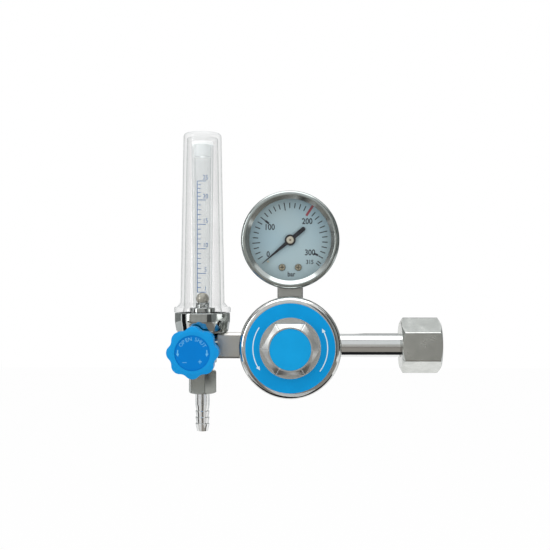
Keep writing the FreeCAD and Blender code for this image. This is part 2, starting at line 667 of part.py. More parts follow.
def relief_cap():
    """Screw that sets the spring, with a hole down its middle."""
    low = RELIEF_END - RELIEF_CAP_HEAD
    shape = turned([(RELIEF_VENT_R, low), (RELIEF_CAP_R, low, 0.4), (RELIEF_CAP_R, RELIEF_END),
                    (RELIEF_ROOM_R - SEAT, RELIEF_END), (RELIEF_ROOM_R - SEAT, RELIEF_END
                    + RELIEF_CAP_DEPTH), (RELIEF_VENT_R, RELIEF_END + RELIEF_CAP_DEPTH)])
    slot = Part.makeBox(2 * RELIEF_R, RELIEF_VENT_R, RELIEF_CAP_HEAD / 2,
                        V(-RELIEF_R, -RELIEF_VENT_R / 2, low))
    return stand(shape.cut(slot), FRONT, relief_at())


# ------------------------------------------------------------------ pressure gauge
def gauge_socket():
    """Square stem block: screwed stub in the body, upper end carries tube and movement."""
    foot, top = BOSS_REACH - GAUGE_RISE, -SOCKET_TOP
    half = SOCKET_SIDE / 2
    stub = stand(rod(PORT_STUB_R - SEAT, foot - PORT_STUB_LENGTH, foot), UP)
    height = -CASE_R + 2.0 - foot
    block = Part.makeBox(SOCKET_SIDE, SOCKET_SIDE, height, V(-half, -half, foot))
    block = block.makeChamfer(0.7, [e for e in block.Edges if abs(e.Length - height) < 1e-6])
    inner_width = BOURDON_WIDTH / 2 + 1.0
    inner = Part.makeBox(SOCKET_SIDE - 1.4, DIAL_BACK + inner_width, top + CASE_R - 1.0,
                         V(0.7 - half, -DIAL_BACK, -CASE_R + 1.0))
    inner = inner.common(stand(rod(CASE_R - CASE_WALL - SEAT, -CASE_BACK, CASE_FRONT), FRONT))
    passage = stand(rod(PASSAGE_R / 2, foot - PORT_STUB_LENGTH, top - 4.0), UP)
    shape = stub.fuse([block, inner]).cut([passage, bourdon_path(-SEAT)] + screw_holes())
    shape.translate(GAUGE_AT)
    return shape


def screw_holes():
    return [stand(rod(0.8, DIAL_BACK - 4.0, DIAL_BACK, (side * DIAL_SCREW_X, -DIAL_SCREW_Z)), FRONT)
            for side in (-1, 1)]


def gauge_case():
    """Pressed steel cup with a slot for the socket in its rim."""
    cup = turned([(0, -CASE_BACK), (CASE_R, -CASE_BACK, 3.0), (CASE_R, CASE_FRONT),
                  (CASE_R - CASE_WALL, CASE_FRONT), (CASE_R - CASE_WALL, CASE_WALL - CASE_BACK, 2.2),
                  (0, CASE_WALL - CASE_BACK)])
    side = SOCKET_SIDE + 2 * SEAT
    slot = Part.makeBox(side, side, CASE_R, V(-side / 2, -side / 2, -CASE_R - 1.0))
    slot = slot.common(Part.makeBox(side, side, 10.0, V(-side / 2, -side / 2, -CASE_R - 1.0)))
    return stand(cup, FRONT, GAUGE_AT).cut(slot.translated(GAUGE_AT))


def gauge_bezel():
    """Rolled ring that holds the lens: rounded shoulder, then a bevel down to the window."""
    inner = CASE_R + SEAT
    shape = turned([(inner, BEZEL_BACK), (BEZEL_R, BEZEL_BACK, 0.5),
                    (BEZEL_R, BEZEL_FRONT, 2.0), (WINDOW_R + BEZEL_BEVEL, BEZEL_FRONT, 0.6),
                    (WINDOW_R, LENS_FRONT + 0.8), (WINDOW_R, LENS_FRONT), (inner, LENS_FRONT)])
    return stand(shape, FRONT, GAUGE_AT)


def gauge_lens():
    return stand(rod(CASE_R - SEAT, CASE_FRONT, LENS_FRONT), FRONT, GAUGE_AT)


def gauge_dial():
    disc = rod(DIAL_R, DIAL_BACK, DIAL_FRONT)
    holes = [rod(ARBOR_R + 0.5, DIAL_BACK, DIAL_FRONT)]
    holes += [rod(0.9, DIAL_BACK, DIAL_FRONT, (side * DIAL_SCREW_X, -DIAL_SCREW_Z)) for side in (-1, 1)]
    pin = polar(STOP_PIN_REACH, STOP_PIN_ANGLE)
    holes.append(rod(STOP_PIN_R, DIAL_BACK, DIAL_FRONT, (pin.x, pin.y)))
    return stand(disc.cut(holes), FRONT, GAUGE_AT)


def dial_screws():
    """Two slotted cheese-head screws through the dial into the socket."""
    screws = []
    for side in (-1, 1):
        head = turned([(0, DIAL_FRONT), (DIAL_SCREW_HEAD_R, DIAL_FRONT),
                       (DIAL_SCREW_HEAD_R, DIAL_FRONT + 0.9, 0.4), (0, DIAL_FRONT + 0.9)])
        slot = Part.makeBox(0.5, 6.0, 0.4, V(-0.25, -3.0, DIAL_FRONT + 0.5))
        screw = head.cut(slot).fuse(rod(0.8 - SEAT, DIAL_BACK - 4.0, DIAL_FRONT))
        screws.append(screw.translated(V(side * DIAL_SCREW_X, -DIAL_SCREW_Z, 0)))
    return stand(Part.Compound(screws), FRONT, GAUGE_AT)


def stop_pin():
    pin = polar(STOP_PIN_REACH, STOP_PIN_ANGLE)
    shape = rod(STOP_PIN_R - 0.01, DIAL_BACK - 0.6, POINTER_BACK + 1.2, (pin.x, pin.y))
    return stand(shape, FRONT, GAUGE_AT)


def gauge_pointer():
    """Blade tapering to the tip, with a straight tail and a round hub."""
    half, top = POINTER_WIDTH / 2, POINTER_THICKNESS
    blade = plate([(POINTER_REACH, 0.12), (0, half), (-POINTER_TAIL, half, half * 0.9),
                   (-POINTER_TAIL, -half, half * 0.9), (0, -half), (POINTER_REACH, -0.12)],
                  top, POINTER_BACK)
    blade.rotate(V(0, 0, 0), UP, POINTER_ANGLE)
    hub = rod(POINTER_HUB_R, POINTER_BACK, POINTER_BACK + top)
    return stand(blade.fuse(hub).cut(rod(ARBOR_R, 0, CASE_FRONT)), FRONT, GAUGE_AT)


def pointer_cap():
    """Bright cap pressed on the arbor over the pointer."""
    low = POINTER_BACK + POINTER_THICKNESS
    cap = turned([(0, low), (HUB_CAP_R, low), (HUB_CAP_R, low + 0.9, 0.4), (0, low + 0.9)])
    return stand(cap, FRONT, GAUGE_AT)


def tooth_ring(teeth, kept, start):
    """Corner points of straight-flanked teeth round a pitch circle. start is the direction of the
    first tooth's middle."""
    pitch = 360.0 / teeth
    radius = MODULE * teeth / 2
    corners = []
    for i in range(kept):
        for reach, share in ((-DEDENDUM, -0.3), (ADDENDUM, -0.11), (ADDENDUM, 0.11), (-DEDENDUM, 0.3)):
            corners.append(polar(radius + reach * MODULE, start + pitch * (i + share)))
    return corners


def gauge_arbor():
    """Pointer shaft with its pinion, running in both plates of the movement. A gap between two
    teeth faces the sector."""
    corners = tooth_ring(PINION_TEETH, PINION_TEETH, SECTOR_ANGLE + 180.0 / PINION_TEETH)
    pinion = plate([(c.x, c.y) for c in corners], GEAR_THICKNESS, GEAR_BACK)
    shaft = rod(ARBOR_R, FRAME_BACK, POINTER_BACK + POINTER_THICKNESS)
    return stand(pinion.fuse(shaft), FRONT, GAUGE_AT)


def sector_gear():
    """Toothed sector with the tail that the link moves. Its last tooth but one is in mesh at rest."""
    first = SECTOR_ANGLE + 180 - SECTOR_PITCH * (SECTOR_KEPT - 2)
    last = SECTOR_ANGLE + 180 + SECTOR_PITCH
    rim = tooth_ring(SECTOR_TEETH, SECTOR_KEPT, first)
    third = (last - first) / 3
    inside = SECTOR_R - SECTOR_RIM
    spokes = [polar(inside, last), polar(inside, last - third), polar(PIVOT_HUB_R, last),
              polar(PIVOT_HUB_R, first), polar(inside, first + third), polar(inside, first)]
    fan = plate([(c.x, c.y) for c in rim + spokes], GEAR_THICKNESS, GEAR_BACK)
    tail_end = polar(TAIL_REACH, tail_direction())
    tail = stadium(V(0, 0, 0), tail_end, LINK_EYE_R, GEAR_BACK, GEAR_FRONT)
    pin = rod(LINK_PIN_R, GEAR_FRONT, LINK_FRONT + 0.2, (tail_end.x, tail_end.y))
    arbor = rod(ARBOR_R, FRAME_BACK, FRAME_FRONT)
    hub = rod(PIVOT_HUB_R, GEAR_BACK, GEAR_FRONT)
    shape = fan.fuse([tail, pin, arbor, hub])
    shape.translate(polar(PIVOT_REACH, SECTOR_ANGLE))
    return stand(shape, FRONT, GAUGE_AT)


def tail_direction():
    return SECTOR_ANGLE - SECTOR_TRAVEL / 2


def tail_pin_at():
    return polar(PIVOT_REACH, SECTOR_ANGLE) + polar(TAIL_REACH, tail_direction())


def movement_frame():
    """Two round plates on three pillars, cut flat where they stand on the socket."""
    plates = [rod(FRAME_PLATE_R, FRAME_BACK, FRAME_BACK + FRAME_PLATE),
              rod(FRAME_PLATE_R, FRAME_FRONT - FRAME_PLATE, FRAME_FRONT)]
    pillars = [rod(PILLAR_R, FRAME_BACK, FRAME_FRONT, at) for at in PILLAR_PLACES]
    shape = plates[0].fuse([plates[1]] + pillars)
    flat = Part.makeBox(60, 20, 20, V(-30, -SOCKET_TOP - 20, -5))
    pivot = polar(PIVOT_REACH, SECTOR_ANGLE)
    holes = [rod(ARBOR_R + SEAT, 0, CASE_FRONT), rod(ARBOR_R + SEAT, 0, CASE_FRONT, (pivot.x, pivot.y))]
    return stand(shape.cut([flat] + holes), FRONT, GAUGE_AT)


def bourdon_path(gap):
    """Flat tube bent to a C about the gauge's axis; gap thins it on every side."""
    half_t, half_w = BOURDON_THICKNESS / 2 - gap, BOURDON_WIDTH / 2 - gap
    low, high, bend = BOURDON_R - half_t, BOURDON_R + half_t, half_t * 0.9
    section = loop([(low, -half_w, bend), (high, -half_w, bend),
                    (high, half_w, bend), (low, half_w, bend)])
    tube = Part.Face(section).revolve(V(0, 0, 0), UP, BOURDON_START - BOURDON_TIP)
    tube.rotate(V(0, 0, 0), UP, BOURDON_TIP)
    return stand(tube, FRONT)


def tube_pin_at():
    return polar(BOURDON_R, BOURDON_TIP) + polar(TIP_BLOCK_R * 0.6, BOURDON_TIP - 90)


def bourdon_tube():
    """C-shaped tube with the tip block that carries the link's pin."""
    tip = tube_pin_at()
    block = rod(TIP_BLOCK_R, -BOURDON_WIDTH / 2, LINK_BACK - 0.2, (tip.x, tip.y))
    pin = rod(LINK_PIN_R, LINK_BACK - 0.2, LINK_FRONT + 0.2, (tip.x, tip.y))
    shape = bourdon_path(0.0).fuse(stand(block.fuse(pin), FRONT))
    shape.translate(GAUGE_AT)
    return shape


def movement_link():
    """Strip on the sector's tail; its slot slides along the pin on the tube's tip."""
    tail, tip = tail_pin_at(), tube_pin_at()
    along = (tip - tail).normalize()
    strip = stadium(tail, tip, LINK_EYE_R, LINK_BACK, LINK_FRONT)
    slot = stadium(tip - along * LINK_SLOT, tip, LINK_PIN_R + LINK_PLAY, LINK_BACK, LINK_FRONT)
    hole = rod(LINK_PIN_R + SEAT, LINK_BACK, LINK_FRONT, (tail.x, tail.y))
    return stand(strip.cut([slot, hole]), FRONT, GAUGE_AT)


# ------------------------------------------------------------------ arm
def outlet_arm():
    """Square bar drilled through, with a screwed stub at each end."""
    length = ARM_START - ARM_END
    block = bar(ARM_SIDE, ARM_SIDE, 0, length)
    edges = [e for e in block.Edges if abs(e.Length - length) < 1e-6]
    block = block.makeChamfer(ARM_CHAMFER, edges)
    stubs = rod(PORT_STUB_R - SEAT, -PORT_STUB_LENGTH / 2, length + PORT_STUB_LENGTH)
    bore = rod(PASSAGE_R, -PORT_STUB_LENGTH / 2, length + PORT_STUB_LENGTH)
    return stand(block.fuse(stubs).cut(bore), RIGHT, V(ARM_END, 0, 0))


# ------------------------------------------------------------------ flow head and tube
def flow_head():
    """Polished cup over a round hub, with bosses for the arm and the needle valve and a stud."""
    low_r = HEAD_R - HEAD_TAPER
    shape = turned([(0, -STUD_END), (STUD_R - 0.8, -STUD_END), (STUD_R, -STUD_END + 0.8),
                    (STUD_R, -HUB_BOTTOM), (HUB_R, -HUB_BOTTOM, 0.8), (HUB_R, HEAD_BOTTOM),
                    (low_r, HEAD_BOTTOM, HEAD_ROUND), (HEAD_R, (HEAD_TOP + HEAD_BOTTOM) / 2 + 1.0, 12.0),
                    (HEAD_R, HEAD_TOP, 0.5), (0, HEAD_TOP)])
    arm_boss = stand(rod(BOSS_R - 0.6, 0, HEAD_BOSS_REACH), RIGHT)
    valve_boss = stand(rod(BOSS_R - 0.6, 0, HEAD_BOSS_REACH), FRONT, FROM_FLOW)
    seat_side = V(-TUBE_PLUG_R - 2 * FEED_R, -1.0, HEAD_FLOOR)
    feed_way = FROM_FLOW - V(0, 1.0, 0) - seat_side
    feed = stand(rod(FEED_R, -1.0, feed_way.Length), feed_way, seat_side)
    cuts = [rod(HEAD_ROOM_R, HEAD_FLOOR, HEAD_TOP),
            rod(TUBE_PLUG_STUB_R, HEAD_FLOOR - 3.0, HEAD_FLOOR),
            rod(STUD_BORE_R, -STUD_END, -VALVE_DROP), feed,
            rod(RISER_R, 0, HEAD_FLOOR - 2.0, (RISER_X, 0)),
            stand(rod(RISER_R - 0.2, RISER_X, HEAD_BOSS_REACH), RIGHT),
            stand(rod(PORT_STUB_R, HEAD_BOSS_REACH - PORT_STUB_LENGTH / 2, HEAD_BOSS_REACH), RIGHT),
            stand(rod(STEM_R + SEAT, -0.6, HEAD_BOSS_REACH), FRONT, FROM_FLOW),
            stand(rod(NEEDLE_R + SEAT, -STEM_TIP - 1.0, 0), FRONT, FROM_FLOW),
            stand(rod(GLAND_R, HEAD_BOSS_REACH - GLAND_DEPTH, HEAD_BOSS_REACH), FRONT, FROM_FLOW)]
    blank = shape.fuse([arm_boss, valve_boss])
    result = blank.cut(cuts)
    result.translate(FLOW_AT)
    return result


def flow_cover():
    """Tall clear cup: closed crown, gentle taper, ribbed foot, flange and screwed spigot."""
    spigot_foot = HEAD_TOP - COVER_SPIGOT
    outer = turned([(0, spigot_foot), (SPIGOT_R, spigot_foot), (SPIGOT_R, HEAD_TOP),
                    (COVER_FLANGE_R, HEAD_TOP, 0.6), (COVER_FLANGE_R, COVER_FOOT, 0.8),
                    (COVER_FOOT_R + COVER_RIB_REACH, COVER_FOOT, 0.4),
                    (COVER_FOOT_R, COVER_FOOT + COVER_RIB_HEIGHT * 0.5, 1.2),
                    (COVER_TOP_R, COVER_TOP, COVER_CROWN_ROUND), (0, COVER_TOP)])
    ribs = []
    for i in range(COVER_RIBS):
        rib = plate([(COVER_FOOT_R - COVER_WALL / 2, 0), (COVER_FOOT_R + COVER_RIB_REACH, 0),
                     (COVER_FOOT_R - COVER_WALL / 2 + 0.2, COVER_RIB_HEIGHT)], COVER_RIB_WIDTH,
                    -COVER_RIB_WIDTH / 2)
        rib.rotate(V(0, 0, 0), RIGHT, 90)
        rib.translate(V(0, 0, COVER_FOOT - 0.1))
        rib.rotate(V(0, 0, 0), UP, 360.0 / COVER_RIBS * (i + 0.5))
        ribs.append(rib)
    inner = turned([(0, spigot_foot), (SPIGOT_R - COVER_WALL, spigot_foot),
                    (SPIGOT_R - COVER_WALL, HEAD_TOP), (COVER_FOOT_R - COVER_WALL, COVER_FOOT),
                    (COVER_TOP_R - COVER_WALL, COVER_TOP - COVER_CROWN, 1.5),
                    (0, COVER_TOP - COVER_CROWN)])
    return outer.fuse(ribs).cut(inner).translated(FLOW_AT)


def cover_seal():
    """Ring that the cover's spigot squeezes on the cup's floor."""
    seal = turned([(SPIGOT_R - COVER_WALL, HEAD_FLOOR), (SPIGOT_R, HEAD_FLOOR),
                   (SPIGOT_R, HEAD_TOP - COVER_SPIGOT), (SPIGOT_R - COVER_WALL, HEAD_TOP - COVER_SPIGOT)])
    return seal.translated(FLOW_AT)


def flow_tube():
    """Measuring tube: its bore widens upwards, so more gas lifts the ball higher."""
    shape = turned([(BORE_FOOT_R, TUBE_FOOT), (TUBE_FOOT_R, TUBE_FOOT), (TUBE_TOP_R, TUBE_TOP, 0.4),
                    (BORE_TOP_R, TUBE_TOP, 0.4)])
    return shape.translated(FLOW_AT)


def tube_plug():
    """Screwed fitting: holds the tube's foot in a socket and ends in the ball's seat."""
    stem = BORE_FOOT_R - SEAT
    shape = turned([(0, HEAD_FLOOR - 2.5), (TUBE_PLUG_STUB_R - SEAT, HEAD_FLOOR - 2.5),
                    (TUBE_PLUG_STUB_R - SEAT, HEAD_FLOOR), (TUBE_PLUG_R, HEAD_FLOOR, 0.6),
                    (TUBE_PLUG_R, TUBE_FOOT + 1.5, 0.5), (TUBE_FOOT_R + 2 * SEAT, TUBE_FOOT + 1.5),
                    (TUBE_FOOT_R + 2 * SEAT, TUBE_FOOT), (stem, TUBE_FOOT), (stem, SEAT_TOP - 1.2),
                    (stem - 0.5, SEAT_TOP), (0, SEAT_TOP)])
    bore = rod(SEAT_BORE_R, HEAD_FLOOR - 2.5, SEAT_TOP)
    cone = turned([(0, SEAT_FOOT), (SEAT_BORE_R, SEAT_FOOT), (SEAT_MOUTH_R, SEAT_TOP), (0, SEAT_TOP)])
    return shape.cut([bore, cone]).translated(FLOW_AT)


def ball_float():
    return Part.makeSphere(BALL_R, V(FLOW_X, 0, BALL_REST))


def ball_stop():
    """Slotted plug in the tube's top, which keeps the ball in and lets the gas out."""
    radius = BORE_TOP_R - TUBE_TAPER * (TUBE_TOP - BALL_STOP_Z) / (TUBE_TOP - TUBE_FOOT) - SEAT
    shape = turned([(0, BALL_STOP_Z), (radius, BALL_STOP_Z, 0.5), (radius, TUBE_TOP),
                    (TUBE_TOP_R, TUBE_TOP), (TUBE_TOP_R, TUBE_TOP + STOP_HEAD, 0.6),
                    (0, TUBE_TOP + STOP_HEAD)])
    slot = bar(STOP_SLOT, 4 * TUBE_TOP_R, BALL_STOP_Z, TUBE_TOP + STOP_HEAD)
    keep = ring(4 * TUBE_TOP_R, radius - 1.2, BALL_STOP_Z, TUBE_TOP + STOP_HEAD)
    return shape.cut(slot.cut(keep)).translated(FLOW_AT)


# ------------------------------------------------------------------ needle valve and knob
def ring_middle():
    return STEM_R + 0.02 - RING_WIRE_R


def stem_ring():
    """O-ring in the stem's groove."""
    return stand(Part.makeTorus(ring_middle(), RING_WIRE_R, V(0, 0, RING_AT)), FRONT, VALVE_AT)


def needle_stem():
    """Valve stem: needle point at the back, ring groove, and the end that carries the knob."""
    end = KNOB_BACK + KNOB_WEB
    shape = turned([(0, -STEM_TIP), (0.3, -STEM_TIP), (NEEDLE_R, 0), (STEM_R, 0.4), (STEM_R, end),
                    (0, end)])
    half = RING_WIRE_R + SEAT
    neck = ring(STEM_R + 1, ring_middle() - RING_WIRE_R - 0.02, RING_AT - half, RING_AT + half)
    hole = rod(SCREW_R, end - SCREW_LENGTH, end)
    return stand(shape.cut([neck, hole]), FRONT, VALVE_AT)


def gland_nut():
    """Hexagon gland that keeps the stem in the head."""
    low, seat = HEAD_BOSS_REACH - GLAND_DEPTH, HEAD_BOSS_REACH
    body = rod(GLAND_R - SEAT, low, seat).fuse(chamfered_hexagon(GLAND_FLATS, seat, seat + GLAND_HEAD))
    return stand(body.cut(rod(STEM_R + SEAT, low, seat + GLAND_HEAD)), FRONT, VALVE_AT)


def lobed_outline():
    """Round lobes joined by hollow arcs that meet them without a kink."""
    half = math.pi / KNOB_LOBES
    lobe_at, lobe = KNOB_R - KNOB_LOBE_ROUND, KNOB_LOBE_ROUND
    rise = KNOB_VALLEY_R
    above = lobe ** 2 - lobe_at ** 2 - rise ** 2 + 2 * lobe_at * rise * math.cos(half)
    hollow = above / (2 * (rise - lobe_at * math.cos(half) - lobe))
    step = 360.0 / KNOB_LOBES
    edges = []
    for i in range(KNOB_LOBES):
        lobe_centre = polar(lobe_at, step * i)
        joints = []
        for way in (-0.5, 0.5):
            hollow_centre = polar(rise + hollow, step * (i + way))
            joints.append(lobe_centre + (hollow_centre - lobe_centre).normalize() * lobe)
        edges.append(Part.Arc(joints[0], polar(KNOB_R, step * i), joints[1]).toShape())
        next_centre = polar(lobe_at, step * (i + 1))
        hollow_centre = polar(rise + hollow, step * (i + 0.5))
        start = next_centre + (hollow_centre - next_centre).normalize() * lobe
        edges.append(Part.Arc(joints[1], polar(rise, step * (i + 0.5)), start).toShape())
    return Part.Wire(edges)


def flow_knob():
    """Moulded knob: lobed rim, crowned front with a plate recess, hollow back with a hub."""
    prism = Part.Face(lobed_outline()).extrude(V(0, 0, KNOB_LENGTH))
    crown = turned([(0, 0), (KNOB_R + 1.0 - 1.2, 0), (KNOB_R + 1.0, 1.2),
                    (KNOB_R + 1.0, KNOB_LENGTH - KNOB_FRONT_ROUND * 0.4),
                    (KNOB_R - KNOB_FRONT_ROUND, KNOB_LENGTH, 3.0),
                    (0, KNOB_LENGTH)])
    hollow = ring(KNOB_VALLEY_R - KNOB_WALL, KNOB_HUB_R, 0, KNOB_LENGTH - KNOB_RECESS - KNOB_WEB)
    recess = rod(KNOB_PLATE_R + SEAT, KNOB_LENGTH - KNOB_RECESS, KNOB_LENGTH)
    stem_hole = rod(STEM_R + SEAT, 0, KNOB_WEB)
    screw_hole = rod(SCREW_R + 0.2, 0, KNOB_LENGTH)
    head_hole = rod(SCREW_HEAD_R + 0.2, KNOB_LENGTH - KNOB_RECESS - SCREW_HEAD - 0.2, KNOB_LENGTH)
    shape = prism.common(crown).cut([hollow, recess, stem_hole, screw_hole, head_hole])
    shape.translate(V(0, 0, KNOB_BACK))
    return stand(shape, FRONT, VALVE_AT)


def knob_plate():
    low = KNOB_FRONT - KNOB_RECESS
    return stand(rod(KNOB_PLATE_R, low, low + KNOB_PLATE), FRONT, VALVE_AT)


def knob_screw():
    """Screw under the plate that pulls the knob on to the stem."""
    head_low = KNOB_FRONT - KNOB_RECESS - SCREW_HEAD - 0.2
    head = rod(SCREW_HEAD_R, head_low, head_low + SCREW_HEAD)
    shank = rod(SCREW_R - SEAT, KNOB_BACK + KNOB_WEB - SCREW_LENGTH + 0.5, head_low)
    slot = Part.makeBox(0.6, 6.0, 0.6, V(-0.3, -3.0, head_low + SCREW_HEAD - 0.6))
    return stand(head.cut(slot).fuse(shank), FRONT, VALVE_AT)


# ------------------------------------------------------------------ outlet
def outlet_nut():
    """Union nut on the stud; its lip pulls the barb's collar up to the gasket."""
    nut = chamfered_hexagon(OUT_NUT_FLATS, -OUT_NUT_BOTTOM, -OUT_NUT_TOP, OUT_NUT_TURN - 90)
    room = rod(STUD_R + SEAT, -OUT_NUT_SHELF, -OUT_NUT_TOP)
    hole = rod(BARB_NECK_R + RUN, -OUT_NUT_BOTTOM, -OUT_NUT_SHELF)
    return nut.cut([room, hole]).translated(FLOW_AT)


def outlet_gasket():
    washer = ring(BARB_COLLAR_R - 0.4, STUD_BORE_R + SEAT, -BARB_COLLAR_TOP, -STUD_END)
    return washer.translated(FLOW_AT)


def hose_barb():
    """Hose tail: collar in the nut, plain neck, then barbs that narrow towards the tip."""
    corners = [(0, -BARB_COLLAR_TOP), (BARB_COLLAR_R, -BARB_COLLAR_TOP, 0.3),
               (BARB_COLLAR_R, -BARB_COLLAR_TOP - BARB_COLLAR),
               (BARB_SHANK_R, -BARB_COLLAR_TOP - BARB_COLLAR), (BARB_SHANK_R, -NECK_TOP),
               (BARB_NECK_R, -NECK_TOP), (BARB_NECK_R, -NECK_END)]
    for i in range(1, BARB_COUNT):
        lip = NECK_END + BARB_PITCH * i
        corners += [(BARB_ROOT_R, 0.3 - lip), (BARB_LIP_R, -lip, 0.15)]
    corners += [(BARB_TIP_R, -BARB_END), (0, -BARB_END)]
    bore = rod(BARB_BORE_R, -BARB_END, -BARB_COLLAR_TOP)
    return turned(corners).cut(bore).translated(FLOW_AT)


NODES = [inlet_nut, inlet_nipple, inlet_filter, inlet_gasket, regulator_body, bonnet, ring_label,
         disc_label, adjusting_screw, spring_button, main_spring, slip_ring, diaphragm,
         diaphragm_plate, valve_nozzle, poppet, poppet_spring, valve_plug, plug_washer,
         relief_valve, relief_ball, relief_spring, relief_cap, gauge_socket, gauge_case,
         gauge_bezel, gauge_lens, gauge_dial, dial_screws, stop_pin, gauge_pointer, pointer_cap,
         gauge_arbor, sector_gear, movement_frame, bourdon_tube, movement_link, outlet_arm,
         flow_head, flow_cover, cover_seal, flow_tube, tube_plug, ball_float, ball_stop, stem_ring,
         needle_stem, gland_nut, flow_knob, knob_plate, knob_screw, outlet_nut, outlet_gasket,
         hose_barb]


def main():
    os.makedirs("parts", exist_ok=True)
    for make in NODES:
        shape = make()
        solids = shape.Solids
        whole = solids[0] if len(solids) == 1 else Part.Compound(solids)
        good = whole.isValid() and all(s.Volume > 0 for s in solids)
        box = whole.BoundBox
        print(f"{make.__name__:18s} solids {len(solids)} valid {good} volume {whole.Volume:9.1f} "
              f"x {box.XMin:.1f}..{box.XMax:.1f} y {box.YMin:.1f}..{box.YMax:.1f} "
              f"z {box.ZMin:.1f}..{box.ZMax:.1f}")
        whole.exportStep(f"parts/{make.__name__}.step")


main()
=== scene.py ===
# %% [markdown]
# # A cylinder gas regulator
#
# The regulator lets gas down from a cylinder's pressure to a welding torch's, and shows both the
# pressure, on a round gauge, and the flow, by a ball in a clear tube. Its construction comes in as
# a packed model: every piece at its real size, in metres, already in its place. The shapes could
# be built again here, but then they could drift from the ones that were checked, so this script
# only dresses them. Each piece gets its finish, and the printed marks are added: the dial, the
# scale on the flow tube, the arrows on the labels. We start by loading the model and keeping the
# box that it fills.

# %% Load the construction
import math

import bmesh
import bpy
from mathutils import Matrix, Vector


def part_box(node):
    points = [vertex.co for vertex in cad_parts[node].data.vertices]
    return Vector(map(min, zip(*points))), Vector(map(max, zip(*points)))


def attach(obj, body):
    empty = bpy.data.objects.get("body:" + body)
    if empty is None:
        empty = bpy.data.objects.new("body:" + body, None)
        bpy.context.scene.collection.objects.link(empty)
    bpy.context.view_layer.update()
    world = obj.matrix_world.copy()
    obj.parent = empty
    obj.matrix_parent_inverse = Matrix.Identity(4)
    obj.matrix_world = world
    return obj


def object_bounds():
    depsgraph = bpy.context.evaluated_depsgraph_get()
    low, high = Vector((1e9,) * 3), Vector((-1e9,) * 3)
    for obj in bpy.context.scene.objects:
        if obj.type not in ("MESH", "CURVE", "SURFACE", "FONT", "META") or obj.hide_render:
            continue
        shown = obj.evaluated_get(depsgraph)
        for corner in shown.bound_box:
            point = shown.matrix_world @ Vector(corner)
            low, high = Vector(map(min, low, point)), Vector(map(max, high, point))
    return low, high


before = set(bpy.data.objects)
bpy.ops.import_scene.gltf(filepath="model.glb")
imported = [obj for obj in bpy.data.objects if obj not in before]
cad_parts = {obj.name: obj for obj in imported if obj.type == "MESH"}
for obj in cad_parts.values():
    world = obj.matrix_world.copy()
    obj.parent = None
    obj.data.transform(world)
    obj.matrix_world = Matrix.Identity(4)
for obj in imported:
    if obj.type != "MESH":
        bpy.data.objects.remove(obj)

cad_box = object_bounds()
scene = bpy.context.scene
scene.view_settings.view_transform = "Standard"
mm = 0.001

# %% [markdown]
# ## Where the axes stand
#
# A printed mark has to sit on the face that carries it. Its place could be typed in as a number,
# but then a change to the construction would leave it behind. So the faces and axes are read from
# the boxes of the pieces themselves, and the marks follow.

# %% Axes of the body, the gauge, the tube and the knob


def middle(node):
    low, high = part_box(node)
    return (Vector(low) + Vector(high)) / 2


def front_of(node):
    """How far the node reaches to the front, which is -Y."""
    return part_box(node)[0][1]


body_axis = middle("ring_label")
gauge_axis = middle("gauge_lens")
tube_axis = middle("flow_tube")
valve_axis = middle("knob_plate")
print("gauge at", [round(c / mm, 1) for c in gauge_axis], "mm")

# %% [markdown]
# ## The camera
#
# A small product is shot square on, from a little over half a metre, with the lens level between
# the gauge and the bell. A camera that tracks a target would be easier to aim, but it would turn
# the upright tube a little, so the place and the two small angles are given outright. A long lens
# from that distance keeps the round faces round and the tube straight.

# %% Camera
eye = Vector((-0.0813, -0.600, 0.0438))
rise = math.radians(0.017)
turn = math.radians(0.783)
camera_data = bpy.data.cameras.new("camera")
camera_data.sensor_width = 36.0
camera_data.lens = 62.6
camera_data.clip_start = 0.01
camera = bpy.data.objects.new("camera", camera_data)
camera.location = eye
camera.rotation_euler = (math.pi / 2 + rise, 0.0, turn)
scene.collection.objects.link(camera)
scene.camera = camera
print("lens", camera_data.lens, "mm at", round(-eye.y, 2), "m")

# %% [markdown]
# ## Shader sums that read like sums
#
# Blender's materials are graphs. They can be drawn by hand in the editor, or written out one node
# at a time, which is long and hard to read. Here one small class wraps a socket and turns `a + b`
# or `1 - mask` into the Math node that does it, so a pattern reads like the sum it is.

# %% A socket that can be reckoned with


class Wire:
    """An output socket in a material. Sums with it add Math nodes."""

    def __init__(self, paint, socket):
        self.paint = paint
        self.socket = socket

    def __add__(self, other):
        return self.paint.maths("ADD", self, other)

    def __sub__(self, other):
        return self.paint.maths("SUBTRACT", self, other)

    def __mul__(self, other):
        return self.paint.maths("MULTIPLY", self, other)

    def __truediv__(self, other):
        return self.paint.maths("DIVIDE", self, other)

    def __pow__(self, other):
        return self.paint.maths("POWER", self, other)

    def __radd__(self, other):
        return self.paint.maths("ADD", other, self)

    def __rsub__(self, other):
        return self.paint.maths("SUBTRACT", other, self)

    def __rmul__(self, other):
        return self.paint.maths("MULTIPLY", other, self)

    def over(self, level):
        """1 where this is above a level, else 0."""
        return self.paint.maths("GREATER_THAN", self, level)

    def clear(self, low, high):
        """0 up to low, 1 from high on, and a smooth rise between."""
        settings = {"interpolation_type": "SMOOTHSTEP"}
        return self.paint.node("ShaderNodeMapRange", settings, {0: self, 1: low, 2: high})

    def size(self):
        """The same number without its sign."""
        return self.paint.maths("ABSOLUTE", self, 0.0)


print("sums on sockets:", [name for name in vars(Wire) if name.startswith("__r")])

# %% [markdown]
# ## One place for every other node
#
# All the finishes below need the same few things: noise of a given size, a blend of two colours, a
# bump, and one Principled shader at the end. They could be node groups, but a plain tree is easier
# to follow in the editor, so they are methods of a class that holds one material. Its `node` method
# adds any kind of node, with its settings first and its inputs after them.

# %% A material and the nodes in it


